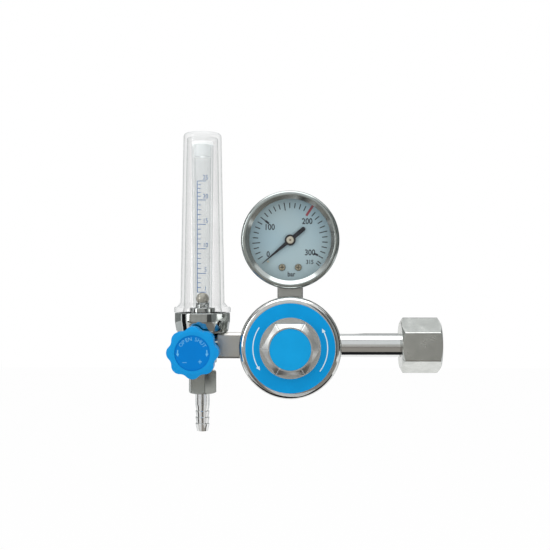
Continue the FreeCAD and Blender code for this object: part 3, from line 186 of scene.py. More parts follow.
class Paint:
    """A material, or the world, and the nodes in it."""

    def __init__(self, name, owner=None):
        self.material = owner or bpy.data.materials.new(name)
        self.material.use_nodes = True
        self.tree = self.material.node_tree
        self.tree.nodes.clear()

    def node(self, kind, settings, inputs, out=0):
        """Adds a node with these properties and these inputs, and gives one of its outputs."""
        node = self.tree.nodes.new(kind)
        for key, value in settings.items():
            setattr(node, key, value)
        for key, value in inputs.items():
            if isinstance(value, Wire):
                self.tree.links.new(value.socket, node.inputs[key])
            else:
                node.inputs[key].default_value = value
        return Wire(self, node.outputs[out]) if len(node.outputs) else None

    def maths(self, operation, first, second, clamp=False):
        """A sum of two sockets or numbers; clamp keeps it between 0 and 1."""
        settings = {"operation": operation, "use_clamp": clamp}
        return self.node("ShaderNodeMath", settings, {0: first, 1: second})

    def place(self):
        """Object coordinates: metres in the frame of the whole regulator."""
        return self.node("ShaderNodeTexCoord", {}, {}, "Object")

    def noise(self, size, stretch=(1, 1, 1), detail=3.0, where=None):
        """Soft noise whose blobs are about size metres wide."""
        scale = tuple(s / size for s in stretch)
        spread = self.node("ShaderNodeMapping", {}, {0: where or self.place(), 3: scale})
        inputs = {"Vector": spread, "Scale": 1.0, "Detail": detail}
        return self.node("ShaderNodeTexNoise", {}, inputs)

    def axes(self):
        """X, Y and Z of the place, as three numbers."""
        place = self.place()
        return [self.node("ShaderNodeSeparateXYZ", {}, {0: place}, i) for i in range(3)]

    def seen_directly(self):
        """1 for what the eye, a mirror or a clear wall shows, 0 for light that falls on things."""
        eye_ray, mirror_ray, through_ray = [
            self.node("ShaderNodeLightPath", {}, {}, kind)
            for kind in ("Is Camera Ray", "Is Glossy Ray", "Is Transmission Ray")
        ]
        return self.maths("ADD", eye_ray + mirror_ray, through_ray, clamp=True)

    def blend(self, first, second, share):
        """Goes from the first colour to the second as share goes from 0 to 1.

        The Mix node has an A and a B for each kind of value; 6 and 7 are those for colours."""
        return self.node("ShaderNodeMix", {"data_type": "RGBA"}, {0: share, 6: first, 7: second}, 2)

    def bump(self, height, depth, strength=1.0):
        """A tilt of the surface, as if a height of 1 stood out by depth metres."""
        inputs = {"Height": height, "Distance": depth, "Strength": strength}
        return self.node("ShaderNodeBump", {}, inputs)

    def finish(self, **sockets):
        """Ends the material in one Principled shader. An underscore stands for a space."""
        values = {name.replace("_", " "): value for name, value in sockets.items()}
        shader = self.node("ShaderNodeBsdfPrincipled", {}, values)
        self.node("ShaderNodeOutputMaterial", {}, {"Surface": shader})
        return self.material


screen_gamma = 2.2


def shade(red, green, blue):
    """A colour as a screen shows it, 0 to 255, turned into the light that Blender works in."""
    return (*[(c / 255) ** screen_gamma for c in (red, green, blue)], 1.0)


def lighter(tone, by):
    """The same tone with each part raised, 255 at most."""
    return [min(255, c + by) for c in tone]


print("materials made so far:", len(bpy.data.materials))

# %% [markdown]
# ## The room
#
# The object stands in a white room. A white background could be had with stronger light, but that
# would bleach the object too. So the light that falls on it from all round comes from the world at
# a plain level, while the eye, the metal and the clear plastic see the same room as pure white.
# The Light Path node tells the two apart by the kind of ray.

# %% World
room = scene.world or bpy.data.worlds.new("room")
scene.world = room
sky = Paint("room", room)
room_light = 0.76
dim_room = (room_light, room_light, room_light, 1.0)
tone = sky.blend(dim_room, (1.0, 1.0, 1.0, 1.0), sky.seen_directly())
walls = sky.node("ShaderNodeBackground", {}, {0: tone, 1: 1.0})
sky.node("ShaderNodeOutputWorld", {}, {0: walls})
print("world:", len(sky.tree.nodes), "nodes")

# %% [markdown]
# ## Floor and lamps
#
# The regulator hangs in the air, as it does when its nut is on a cylinder, over a pale floor. The
# floor could be a plain lit plane, which would look grey and show its far edge. Most of what the
# eye sees of it is therefore an even white, and the rest is its own lit surface, which keeps a soft
# trace of the shadow. Of the lamps, a large one overhead models the shapes, a narrow one on the
# left puts the bright streak on the round metal, and a weak one on the right opens the shadows.

# %% Floor and lamps
floor_drop = 0.25
floor_white = 0.97
floor_level = cad_box[0][2] - floor_drop


def stage_card(name, wide, tall, at, facing, material):
    """A flat card of the studio, centred on a point and turned to face along a direction."""
    mesh = bpy.data.meshes.new(name)
    shape = bmesh.new()
    lie = Vector(facing).to_track_quat("Z", "Y").to_matrix().to_4x4()
    size = Matrix.Diagonal((wide / 2, tall / 2, 1.0, 1.0))
    place = Matrix.Translation(at) @ lie @ size
    bmesh.ops.create_grid(shape, x_segments=1, y_segments=1, size=1.0, matrix=place)
    shape.to_mesh(mesh)
    shape.free()
    mesh.materials.append(material)
    card = bpy.data.objects.new(name, mesh)
    scene.collection.objects.link(card)
    return card


def softbox(name, place, aim, wide, tall, power):
    """A square lamp that points at a spot on the object."""
    lamp = bpy.data.lights.new(name, "AREA")
    lamp.shape = "RECTANGLE"
    lamp.size = wide
    lamp.size_y = tall
    lamp.energy = power
    box = bpy.data.objects.new(name, lamp)
    box.location = place
    box.rotation_euler = (Vector(aim) - Vector(place)).to_track_quat("-Z", "Y").to_euler()
    scene.collection.objects.link(box)
    return box


floor_paint = Paint("floor_card")
matt = floor_paint.node("ShaderNodeBsdfDiffuse", {}, {0: (0.86, 0.86, 0.86, 1.0)})
glow = floor_paint.node("ShaderNodeEmission", {}, {0: (1.0, 1.0, 1.0, 1.0), 1: 1.0})
share = floor_paint.seen_directly() * floor_white
lit = floor_paint.node("ShaderNodeMixShader", {}, {0: share, 1: matt, 2: glow})
floor_paint.node("ShaderNodeOutputMaterial", {}, {0: lit})
stage_card("floor", 6.0, 6.0, (0.0, 0.0, floor_level), (0, 0, 1), floor_paint.material)

softbox("top_softbox", (-0.10, -0.10, 0.95), body_axis, 1.0, 0.8, 4.2)
softbox("left_softbox", (-0.95, -0.55, 0.30), body_axis, 0.16, 0.7, 1.6)
softbox("right_softbox", (0.85, -0.60, 0.40), body_axis, 0.5, 0.8, 1.0)
print("floor", round((cad_box[0][2] - floor_level) / mm), "mm under the barb")

# %% [markdown]
# ## Cards that draw the chrome
#
# Chrome has no colour of its own, and in an all white room it would vanish. A picture of a studio
# round the scene would give it something to mirror, but we keep to simple shapes, as a photographer
# does, who stands cards round the object. Here are tall grey and pale boards behind the camera,
# black strips to the left and right, boards at the back for the outlines, and a dark card on the
# floor, with three small ones close to the barb. Each becomes a band along the pipe, the bell and
# the cup. The cards stand close and would be in the way of the lens and of the light, so only
# reflections may see them.

# %% Cards


def card_tone(name, red, green, blue):
    """Matt board with a slightly uneven face."""
    paint = Paint(name)
    cloud = paint.noise(0.25, detail=2.0)
    worn = shade(red * 0.92, green * 0.92, blue * 0.92)
    tint = paint.blend(worn, shade(red, green, blue), cloud)
    board = paint.node("ShaderNodeBsdfDiffuse", {}, {0: tint})
    paint.node("ShaderNodeOutputMaterial", {}, {0: board})
    return paint.material


def reflection_card(name, wide, tall, at, facing, material):
    """A card that only mirror images show."""
    card = stage_card(name, wide, tall, at, facing, material)
    card.visible_camera = False
    card.visible_diffuse = False
    card.visible_transmission = False
    card.visible_shadow = False
    return card


black_board = card_tone("black_board", 38, 39, 40)
dark_board = card_tone("dark_board", 92, 93, 92)
middle_board = card_tone("middle_board", 144, 147, 146)
brown_board = card_tone("brown_board", 150, 146, 140)
grey_board = card_tone("grey_board", 190, 189, 185)
pale_board = card_tone("pale_board", 224, 227, 228)
white_board = card_tone("white_board", 250, 250, 250)
card_rise = floor_level + 3.0 * mm
tube_x = tube_axis.x
up, back = (0, 0, 1), (0, 1, 0)
from_left, from_right = (0.731, -0.682, 0), (-0.731, -0.682, 0)
card_table = [
    # name, width, height, centre, the way it looks, board
    ("floor_black", 0.85, 0.22, (-0.08, -0.035, card_rise), up, black_board),
    ("floor_brown", 1.60, 0.655, (-0.08, -0.473, card_rise), up, brown_board),
    ("wall_brown", 2.20, 0.165, (-0.40, -0.80, -0.222), back, brown_board),
    ("wall_grey", 2.20, 0.31, (-0.40, -0.80, 0.015), back, grey_board),
    ("wall_pale", 2.20, 1.02, (-0.40, -0.80, 0.68), back, pale_board),
    ("left_black", 0.19, 0.92, (-0.624, -0.104, 0.16), (1, 0.2, 0), black_board),
    ("right_black", 0.17, 0.68, (0.385, -0.05, 0.28), (-1, 0.1, 0), black_board),
    ("back_left", 1.00, 0.68, (-0.603, 0.436, 0.28), from_left, middle_board),
    ("back_right", 1.00, 0.68, (0.370, 0.436, 0.28), from_right, middle_board),
    ("low_left", 1.00, 0.24, (-0.603, 0.436, -0.18), from_left, pale_board),
    ("low_right", 1.00, 0.24, (0.370, 0.436, -0.18), from_right, pale_board),
    ("back_top", 1.60, 0.80, (-0.100, 0.560, 0.860), (0, -0.56, -0.80), pale_board),
    ("right_dark", 0.26, 0.72, (0.272, -0.636, 0.21), (-0.47, 0.88, 0), dark_board),
    ("right_middle", 0.45, 0.72, (0.50, -0.385, 0.21), (-0.85, 0.53, 0), middle_board),
    ("barb_left", 0.055, 0.061, (tube_x - 0.040, -0.050, -0.0645), (0.6, 0.8, 0), white_board),
    ("barb_right", 0.055, 0.061, (tube_x + 0.054, -0.050, -0.0645), (-0.6, 0.8, 0), white_board),
    ("barb_line", 0.016, 0.061, (tube_x + 0.008, -0.075, -0.0645), back, dark_board),
]
cards = [reflection_card(*row) for row in card_table]
print(len(cards), "cards for the reflections")

# %% [markdown]
# ## Plated brass
#
# Nearly all the metal here is turned or forged brass with a chrome skin. Polished chrome is a
# mirror with faint smears. A plain metal shader with one roughness would do from afar, but close
# up it looks like glass, so here the roughness wanders a little and a very shallow bump breaks the
# long faces. Forged faces that were only tumbled before plating keep a soft, slightly pebbled look.
# Each finish is one function, so that two pieces can share it and still differ in tone.

# %% Polished and satin chrome


def polished_chrome(name, tone, smear=0.05, low=0.04):
    """A mirror whose roughness is at least low and rises by smear in the smears."""
    paint = Paint(name)
    smears = paint.noise(0.012, (1, 1, 2.5))
    grain = paint.noise(0.0006, detail=2.0)
    tint = paint.blend(shade(*tone), shade(*lighter(tone, 12)), smears)
    return paint.finish(
        Base_Color=tint,
        Metallic=1.0,
        Roughness=smears * smear + low,
        Normal=paint.bump(grain, 0.000004, 0.5),
    )


def satin_chrome(name, tone, low=0.22):
    """Plating over a tumbled forging, with pebbles a millimetre wide."""
    paint = Paint(name)
    cloud = paint.noise(0.009)
    pebbles = paint.noise(0.0011, detail=4.0)
    tint = paint.blend(shade(*[c - 16 for c in tone]), shade(*tone), cloud)
    return paint.finish(
        Base_Color=tint,
        Metallic=1.0,
        Roughness=cloud * 0.12 + low,
        Normal=paint.bump(pebbles, 0.00002, 0.8),
    )


cup_chrome = polished_chrome("cup_chrome", (184, 188, 186))
pipe_chrome = polished_chrome("pipe_chrome", (226, 227, 226))
bezel_chrome = polished_chrome("bezel_chrome", (173, 180, 178), smear=0.06, low=0.13)
barb_chrome = polished_chrome("barb_chrome", (232, 233, 232))
body_chrome = satin_chrome("body_chrome", (206, 207, 203))
print("polished: cup, pipe, bezel, barb; satin: body")

# %% [markdown]
# ## Spanner flats and their corners
#
# A nut's flats are milled from bar: fine lines run along the bar, with cloudy patches where the
# polishing wheel went over. Plating rounds the corners a little, and that tiny round catches the
# light as a line. The round could be cut into the mesh, but it is only half a millimetre wide, so
# it is drawn by a bump: the height falls towards each corner, which is found from the angle about
# the nut's axis.

# %% Milled chrome, and corners for hexagons


def milled_height(paint, lines):
    """Tool lines as noise; lines is how much finer it is along X, Y and Z."""
    return paint.noise(0.004, lines, detail=2.5)


def hexagon_corners(paint, across, up, centre, start, reach, width=0.5 * mm):
    """1 at a hexagon's corners, falling to 0 at that width from them.

    The centre is (across, up), start is the angle of one corner and reach its distance."""
    angle = paint.maths("ARCTAN2", up - centre[1], across - centre[0])
    whole_turns = 4 * math.pi
    off = paint.maths("PINGPONG", angle + (whole_turns - start), math.pi / 6) * reach
    near = paint.maths("SUBTRACT", 1.0, off / width, clamp=True)
    return near ** 2.0


def milled_chrome(name, tone, lines, low=0.2, corners=None):
    """Satin flats; corners is a function that finds the hexagon's corners."""
    paint = Paint(name)
    cloud = paint.noise(0.010)
    cuts = milled_height(paint, lines)
    tint = paint.blend(shade(*[c - 16 for c in tone]), shade(*tone), cuts * 0.3 + cloud * 0.7)
    height = cuts * 0.004
    if corners:
        height = height - corners(paint)
    return paint.finish(
        Base_Color=tint,
        Metallic=1.0,
        Roughness=cuts * 0.05 + cloud * 0.10 + low,
        Normal=paint.bump(height, 0.00016, 1.0),
    )


def union_corners(paint):
    """The outlet nut's corners, half a millimetre wide, as far round as it was last tightened."""
    x, y, _ = paint.axes()
    centre = (tube_axis.x, tube_axis.y)
    first_corner = math.radians(13.3 - 90)
    corner_reach = 9.2 * mm
    return hexagon_corners(paint, x, y, centre, first_corner, corner_reach)


arm_chrome = milled_chrome("arm_chrome", (226, 224, 218), (1, 6, 6), 0.26)
stem_chrome = milled_chrome("stem_chrome", (204, 205, 201), (3, 3, 2), 0.24)
union_chrome = milled_chrome("union_chrome", (172, 175, 170), (5, 5, 1), 0.16, union_corners)
gland_chrome = milled_chrome("gland_chrome", (190, 192, 188), (5, 1, 5), 0.2)
print("milled: arm, gauge stem, union nut, gland")

# %% [markdown]
# ## The bell and its hexagon
#
# The bell is one forging with two finishes. Its round shell was buffed to a mirror. The hexagon in
# the middle, which a spanner holds, was only ground, so it is duller and its corners show as fine
# lines. The faces could get two materials, but then each face would have to be picked out of the
# mesh. It is simpler to let the shader tell the two apart, by the distance to the bell's axis.

# %% Bell chrome


def bell_finish(crown_radius, corner_reach):
    """A mirror outside the crown's radius; inside it, ground metal with the hexagon's corners."""
    paint = Paint("bell_chrome")
    x, _, z = paint.axes()
    away = ((x - body_axis.x) ** 2.0 + (z - body_axis.z) ** 2.0) ** 0.5
    crown = 1.0 - away.clear(crown_radius - 0.4 * mm, crown_radius + 0.4 * mm)
    smears = paint.noise(0.012, (1, 1, 2.5))
    grain = paint.noise(0.0008, detail=3.0)
    centre = (body_axis.x, body_axis.z)
    corners = hexagon_corners(paint, x, z, centre, 0.0, corner_reach)
    tint = paint.blend(shade(212, 213, 211), shade(224, 225, 223), smears)
    return paint.finish(
        Base_Color=tint,
        Metallic=1.0,
        Roughness=smears * 0.05 + 0.08 + crown * 0.22,
        Normal=paint.bump(grain * 0.02 - corners * crown, 0.00016, 1.0),
    )


bell_chrome = bell_finish(crown_radius=18.0 * mm, corner_reach=17.3 * mm)
print("bell: mirror shell, ground hexagon")

# %% [markdown]
# ## Thread in the inlet nut
#
# The nut's thread is cut inside it. Modelled turn by turn it would weigh more than the rest of the
# part, and it is only seen from the side, so the groove is a bump: a zigzag along X that winds
# round with the angle. It only counts inside the bore, which is told from the flats by its distance
# to the axis. The corner lines of the hexagon are added in the same bump.

# %% Inlet nut


def threaded_chrome(name, tone, pitch, bore, corner_reach):
    """Milled chrome about the X axis with a thread in its bore; all three lengths in metres."""
    paint = Paint(name)
    cloud = paint.noise(0.008)
    cuts = milled_height(paint, (1, 7, 7))
    x, y, z = paint.axes()
    away = (y ** 2.0 + z ** 2.0) ** 0.5
    inside = 1.0 - away.over(bore)
    turnwise = paint.maths("ARCTAN2", z, y)
    well_above_zero = 1.0
    along = (x + well_above_zero) / pitch + turnwise / (2 * math.pi)
    groove = paint.maths("PINGPONG", along, 0.5)
    corners = hexagon_corners(paint, y, z, (0.0, 0.0), math.pi / 6, corner_reach, 0.55 * mm)
    height = groove * inside * 7.0 + cuts * 0.006 - corners * (1.0 - inside)
    wear = cuts * 0.4 + cloud.clear(0.3, 0.7) * 0.6
    tint = paint.blend(shade(*[c - 30 for c in tone]), shade(*tone), wear)
    return paint.finish(
        Base_Color=tint,
        Metallic=1.0,
        Roughness=cuts * 0.1 + cloud * 0.12 + 0.14,
        Normal=paint.bump(height, 0.00017, 1.0),
    )


thread_pitch = 0.001814
inlet_chrome = threaded_chrome(
    "inlet_nut_chrome", (228, 230, 226), thread_pitch, bore=0.0112, corner_reach=17.3 * mm
)
print("thread pitch", round(thread_pitch / mm, 3), "mm")

# %% [markdown]
# ## Bare brass, steel and bronze
#
# Inside the valve and the gauge nothing is plated. Turned brass and steel show the uneven sheen of
# machined stock, the sintered filter is rough and grainy, and the float is a polished steel ball
# with a warm cast. Rings from the lathe could be drawn on each turned piece, but these pieces are
# small and mostly hidden, so one cloudy metal serves them all. The float is made half metal, or it
# would mirror the dark boards and look black in its tube.

# %% Bare metals


def plain_metal(name, tone, low=0.25, grain=0.0009, metal=1.0):
    """Unplated metal; low is its least roughness and grain the size of its dimples."""
    paint = Paint(name)
    cloud = paint.noise(0.006)
    fine = paint.noise(grain, detail=3.0)
    tint = paint.blend(shade(*[c * 0.84 for c in tone]), shade(*tone), cloud)
    return paint.finish(
        Base_Color=tint,
        Metallic=metal,
        Roughness=cloud * 0.14 + low,
        Normal=paint.bump(fine, 0.000008, 0.6),
    )


turned_brass = plain_metal("turned_brass", (214, 184, 124))
cap_brass = plain_metal("cap_brass", (238, 228, 204), low=0.34)
bright_steel = plain_metal("bright_steel", (206, 206, 203), low=0.16)
ball_steel = plain_metal("ball_steel", (240, 232, 216), low=0.14, metal=0.5)
spring_steel = plain_metal("spring_steel", (140, 140, 142), low=0.3)
sintered_bronze = plain_metal("sintered_bronze", (178, 134, 92), low=0.5, grain=0.0005)
print(len(bpy.data.materials), "finishes so far")

# %% [markdown]
# ## Cross slots in the dial's screws
#
# Two tiny screws hold the dial. Their heads are plain discs in the construction. The cross for the
# screwdriver could be cut in with a boolean, but that would change a checked shape for something
# two millimetres wide, so it is painted on: a point is in the slot where it is close to one of the
# two lines through the middle of its head. A dark ring stands for the shadow under the rim.

# %% Dial screw heads


def slotted_brass(name, tone, apart, below, head):
    """Brass with a cross on two heads of radius head, each that far beside the gauge's axis
    and that far below it."""
    paint = Paint(name)
    x, _, z = paint.axes()
    across = ((x - gauge_axis.x).size() - apart).size()
    up = (z - (gauge_axis.z - below)).size()
    away = (across ** 2.0 + up ** 2.0) ** 0.5
    nearest = paint.maths("MINIMUM", across, up)
    in_line = 1.0 - nearest.clear(0.16 * mm, 0.30 * mm)
    slot = in_line * (1.0 - away.clear(head * 0.62, head * 0.72))
    rim = away.clear(head * 0.76, head * 0.98)
    # painted shade: the cross slot and a ring under the rim are darkened, as the shade in the slot
    # and under the head's edge
    dark = paint.maths("MAXIMUM", slot, rim)
    cloud = paint.noise(0.003)
    tint = paint.blend(shade(*[c * 0.88 for c in tone]), shade(*tone), cloud)
    return paint.finish(
        Base_Color=paint.blend(tint, shade(62, 62, 58), dark * 0.85),
        Metallic=1.0,
        Roughness=cloud * 0.1 + 0.3,
        Normal=paint.bump(1.0 - slot, 0.0001, 1.0),
    )


screw_brass = slotted_brass(
    "screw_brass", (214, 206, 182), apart=5.0 * mm, below=16.8 * mm, head=2.1 * mm
)
print("crosses on the dial screws")

# %% [markdown]
# ## The cap on the pointer
#
# The pointer is pressed on its arbor, and the arbor's end shows as a small dark spot in a pale
# turned cap. A separate disc could stand for the spot, but it is flush with the cap, so the shader
# draws it by the distance to the cap's axis. Rings stay right while the pointer turns.

# %% Pointer cap


def turned_cap(name, pale, dark, spot, edge):
    """Pale metal with a darker middle, up to spot, and a darker rim, from edge outwards."""
    paint = Paint(name)
    x, _, z = paint.axes()
    centre = middle("pointer_cap")
    away = ((x - centre.x) ** 2.0 + (z - centre.z) ** 2.0) ** 0.5
    core = 1.0 - away.clear(spot * 0.4, spot)
    rim = away.clear(edge, edge + 0.4 * mm)
    shadow = paint.maths("MAXIMUM", core * 0.8, rim * 0.6)
    cloud = paint.noise(0.002)
    return paint.finish(
        Base_Color=paint.blend(shade(*pale), shade(*dark), shadow),
        Metallic=1.0,
        Roughness=cloud * 0.1 + 0.3,
        Normal=paint.bump(cloud, 0.00001, 0.6),
    )


pale_cap = turned_cap("pale_cap", (250, 244, 226), (140, 116, 88), spot=1.0 * mm, edge=1.9 * mm)
print("pointer cap at", round(middle("pointer_cap").x / mm, 1), "mm")

# %% [markdown]
# ## Clear plastic
#
# The cover and the measuring tube are clear moulded plastic, and the lens is a flat pane. Light
# goes nearly straight through such thin walls, so a transparent shader with a little gloss on top
# does the job, with far less noise than true glass. A wall that is seen edge on has more plastic
# to look through, so a second, greyer transparent shader takes over towards the outline.

# %% Clear plastic


def clear_plastic(name, face, edge, haze, gloss=0.04, sheen=0.8):
    """A wall in its tone face on and edge on; haze is how milky, gloss how rough its shine is."""
    paint = Paint(name)
    waver = paint.noise(0.010, (1, 1, 0.3))
    facing = paint.node("ShaderNodeLayerWeight", {}, {"Blend": 0.5}, "Facing")
    shine = (facing ** 5.0 * 0.9 + 0.035) * sheen
    thin = paint.node("ShaderNodeBsdfTransparent", {}, {0: shade(*face)})
    thick = paint.node("ShaderNodeBsdfTransparent", {}, {0: shade(*edge)})
    through = paint.node("ShaderNodeMixShader", {}, {0: facing ** 3.0, 1: thin, 2: thick})
    rough = waver * 0.05 + gloss
    mirror = {"Base Color": shade(252, 253, 253), "Metallic": 1.0, "Roughness": rough}
    skin = paint.node("ShaderNodeBsdfPrincipled", {}, mirror)
    milk = paint.node("ShaderNodeBsdfDiffuse", {}, {0: shade(244, 246, 247)})
    shiny = paint.node("ShaderNodeMixShader", {}, {0: shine, 1: through, 2: skin})
    clouded = facing ** 3.0 * haze + waver * haze * 0.3
    wall = paint.node("ShaderNodeMixShader", {}, {0: clouded, 1: shiny, 2: milk})
    paint.node("ShaderNodeOutputMaterial", {}, {"Surface": wall})
    return paint.material


cover_plastic = clear_plastic("cover_plastic", (251, 251, 251), (239, 241, 241), haze=0.05)
tube_plastic = clear_plastic("tube_plastic", (252, 253, 253), (241, 244, 245), haze=0.03)
lens_plastic = clear_plastic(
    "lens_plastic", (254, 254, 254), (246, 247, 248), haze=0.0, gloss=0.03, sheen=0.5
)
print("clear: cover, tube, lens")

# %% [markdown]
# ## Coloured plastic, label film and rubber
#
# The knob is moulded from coloured nylon with a soft sheen. The labels are film, smoother and
# flatter, and the seals are dull black rubber. They could be three shaders, but they differ only in
# numbers, so they are one: a tone that drifts a little, and a fine grain in the bump. The stop over
# the float is milky nylon that daylight comes through, which a faint glow stands for.

# %% Coloured plastic and rubber


def moulded_plastic(name, tone, low=0.28, texture=0.000012, pale=0.0, sheen=0.5, glow=0.0):
    """Solid colour with a fine grain; pale lightens it in patches; glow is a painted glow for light
    let through.
    """
    paint = Paint(name)
    cloud = paint.noise(0.011)
    fine = paint.noise(0.0005, detail=2.0)
    tint = paint.blend(shade(*[c * 0.94 for c in tone]), shade(*tone), cloud)
    tint = paint.blend(tint, shade(*lighter(tone, 30)), cloud * pale)
    return paint.finish(
        Base_Color=tint,
        Roughness=cloud * 0.12 + low,
        Specular_IOR_Level=sheen,
        Emission_Color=shade(*tone),
        Emission_Strength=glow,
        Normal=paint.bump(fine, texture, 0.6),
    )


film_grain = 0.000004
knob_blue = moulded_plastic("knob_blue", (0, 152, 226), 0.34, 0.00001, pale=0.05, sheen=0.2)
plate_blue = moulded_plastic("plate_blue", (0, 128, 214), 0.42, sheen=0.08)
ring_film = moulded_plastic("ring_film", (0, 157, 228), 0.44, film_grain, pale=0.1, sheen=0.12)
disc_film = moulded_plastic("disc_film", (8, 160, 226), 0.44, film_grain, pale=0.15, sheen=0.15)
# painted light: the stop glows a little, a painted glow for the daylight that comes through the
# milky nylon
milk_nylon = moulded_plastic("milk_nylon", (246, 248, 248), 0.4, glow=0.35)
seal_rubber = moulded_plastic("seal_rubber", (38, 38, 40), 0.6)
pointer_black = moulded_plastic("pointer_black", (26, 30, 40), 0.4)
print(len(bpy.data.materials), "finishes so far")

# %% [markdown]
# ## The dial's lacquer
#
# The dial is a tin disc with a pale lacquer, which looks blue-grey behind its lens. One flat tone
# would read as paper, so the tone drifts softly over the disc, and a faint orange peel breaks the
# shine of the lamps.

# %% Dial lacquer


def dial_lacquer():
    """Blue-grey lacquer that drifts over some centimetres."""
    paint = Paint("dial_lacquer")
    drift = paint.noise(0.045, detail=1.0)
    peel = paint.noise(0.0008, detail=2.0)
    tint = paint.blend(shade(164, 194, 206), shade(178, 202, 208), drift.clear(0.35, 0.65))
    return paint.finish(
        Base_Color=tint, Roughness=peel * 0.1 + 0.45, Normal=paint.bump(peel, 0.000003, 0.5)
    )


dial_paint = dial_lacquer()
print("lacquer:", len(dial_paint.node_tree.nodes), "nodes")

# %% [markdown]
# ## Every piece gets its finish
#
# On the real thing each piece is finished before it is put together, so a piece has one finish. A
# material could be given right after it is made, but one table, by finish, shows at a glance what
# is bare, plated or moulded. The pieces come from the construction as they are, and only their
# material is exchanged.

# %% Finishes on the pieces
finishes = {
    bell_chrome: ["bonnet"],
    cup_chrome: ["flow_head", "tube_plug"],
    pipe_chrome: ["inlet_nipple"],
    bezel_chrome: ["gauge_bezel"],
    barb_chrome: ["hose_barb"],
    inlet_chrome: ["inlet_nut"],
    arm_chrome: ["outlet_arm"],
    stem_chrome: ["gauge_socket"],
    union_chrome: ["outlet_nut"],
    gland_chrome: ["gland_nut"],
    body_chrome: ["regulator_body", "gauge_case", "valve_plug", "relief_valve", "relief_cap"],
    turned_brass: [
        "adjusting_screw", "spring_button", "valve_nozzle", "needle_stem", "movement_frame",
        "sector_gear", "movement_link", "gauge_arbor", "bourdon_tube", "diaphragm_plate",
    ],
    screw_brass: ["dial_screws"],
    cap_brass: ["stop_pin"],
    pale_cap: ["pointer_cap"],
    bright_steel: ["slip_ring", "poppet", "relief_ball", "knob_screw"],
    ball_steel: ["ball_float"],
    spring_steel: ["main_spring", "poppet_spring", "relief_spring"],
    sintered_bronze: ["inlet_filter"],
    cover_plastic: ["flow_cover"],
    tube_plastic: ["flow_tube"],
    milk_nylon: ["ball_stop"],
    lens_plastic: ["gauge_lens"],
    knob_blue: ["flow_knob"],
    plate_blue: ["knob_plate"],
    ring_film: ["ring_label"],
    disc_film: ["disc_label"],
    dial_paint: ["gauge_dial"],
    pointer_black: ["gauge_pointer"],
    seal_rubber: [
        "diaphragm", "inlet_gasket", "plug_washer", "cover_seal", "stem_ring", "outlet_gasket",
    ],
}
dressed = set()
for finish, names in finishes.items():
    for name in names:
        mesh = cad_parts[name].data
        mesh.materials.clear()
        mesh.materials.append(finish)
        dressed.add(name)
bare = set(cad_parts) - dressed
print(len(dressed), "pieces dressed, left over:", sorted(bare))

# %% [markdown]
# ## Ink
#
# The marks on the real regulator are screen printed. They could be a picture on the face, but then
# they would be only as sharp as the picture. Here they are very thin pieces of ink that lie on the
# face that carries them, and keep a sharp edge at any zoom. Two small tools do it: one adds a
# straight stroke between two points of a front face, the other adds a word or a number. Text in
# Blender starts as a curve, so it is turned into a mesh before it is put in its place.

# %% Strokes and numbers


ink_thick = 0.05 * mm
ink_lift = 0.03 * mm
capital_share = 0.69


def ink(name, tone):
    """Screen-printed ink: nearly matt, with a slightly uneven coat."""
    paint = Paint(name)
    coat = paint.noise(0.0012, detail=2.0)
    tint = paint.blend(shade(*tone), shade(*lighter(tone, 22)), coat)
    return paint.finish(Base_Color=tint, Roughness=coat * 0.15 + 0.45)


def stroke(shape, start, end, width, front):
    """A bar of ink on a face that looks to the front, between two (x, z) points."""
    a = Vector((start[0], front, start[1]))
    b = Vector((end[0], front, end[1]))
    lie = Matrix.Rotation(-math.atan2(b.z - a.z, b.x - a.x), 4, "Y")
    size = Matrix.Diagonal(((b - a).length, ink_thick, width, 1.0))
    bmesh.ops.create_cube(shape, size=1.0, matrix=Matrix.Translation((a + b) / 2) @ lie @ size)


def lettering(shape, text, height, at, front, turn=0.0, squeeze=1.0, bold=0.0):
    """Words or numbers on a face that looks to the front, centred on an (x, z) point.

    Height is that of a capital letter, which fills capital_share of the font's size."""
    curve = bpy.data.curves.new("text", "FONT")
    curve.body = text
    curve.align_x = "CENTER"
    curve.align_y = "CENTER"
    curve.size = height / capital_share
    curve.extrude = ink_thick / 2
    curve.offset = height * bold
    curve.resolution_u = 3
    carrier = bpy.data.objects.new("text", curve)
    flat = bpy.data.meshes.new_from_object(carrier)
    place = Matrix.Translation((at[0], front, at[1]))
    stand = Matrix.Rotation(math.pi / 2, 4, "X")
    lean = Matrix.Rotation(turn, 4, "Z")
    flat.transform(place @ stand @ lean @ Matrix.Diagonal((squeeze, 1, 1, 1)))
    shape.from_mesh(flat)
    bpy.data.objects.remove(carrier)
    bpy.data.curves.remove(curve)
    bpy.data.meshes.remove(flat)


def piece(name, shape, material, body):
    """Turns a bmesh into a finished piece that rides on a body."""
    bmesh.ops.remove_doubles(shape, verts=shape.verts, dist=0.0005 * mm)
    bmesh.ops.recalc_face_normals(shape, faces=shape.faces)
    loose = sum(not edge.is_manifold for edge in shape.edges)
    print(name, len(shape.faces), "faces,", loose, "open edges")
    mesh = bpy.data.meshes.new(name)
    shape.to_mesh(mesh)
    shape.free()
    mesh.materials.append(material)
    made = bpy.data.objects.new(name, mesh)
    scene.collection.objects.link(made)
    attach(made, body)
    return made


def around(centre, radius, degrees):
    """(x, z) of a point at that radius and angle about an axis that looks to the front."""
    turn = math.radians(degrees)
    return centre.x + radius * math.cos(turn), centre.z + radius * math.sin(turn)


black_ink = ink("black_ink", (34, 40, 50))
red_ink = ink("red_ink", (150, 62, 72))
print("ink", round(ink_thick / mm, 2), "mm thick")

# %% [markdown]
# ## The gauge's scale
#
# The scale runs clockwise from the lower left to 315 bar at the lower right. From 20 bar on there
# is a line every 10 bar, 8.55 degrees apart. The fifties are longer, the hundreds are thick, and
# 200 bar, the pressure of a full cylinder, is red. The lines could be copies of one line turned by
# an array modifier, but they differ in length, so a loop places each by its pressure.

# %% Dial marks
dial_face = front_of("gauge_dial") - ink_lift
ten_bar_angle = 219.0
step_angle = 8.55
full_cylinder = 200
line_width = 0.6


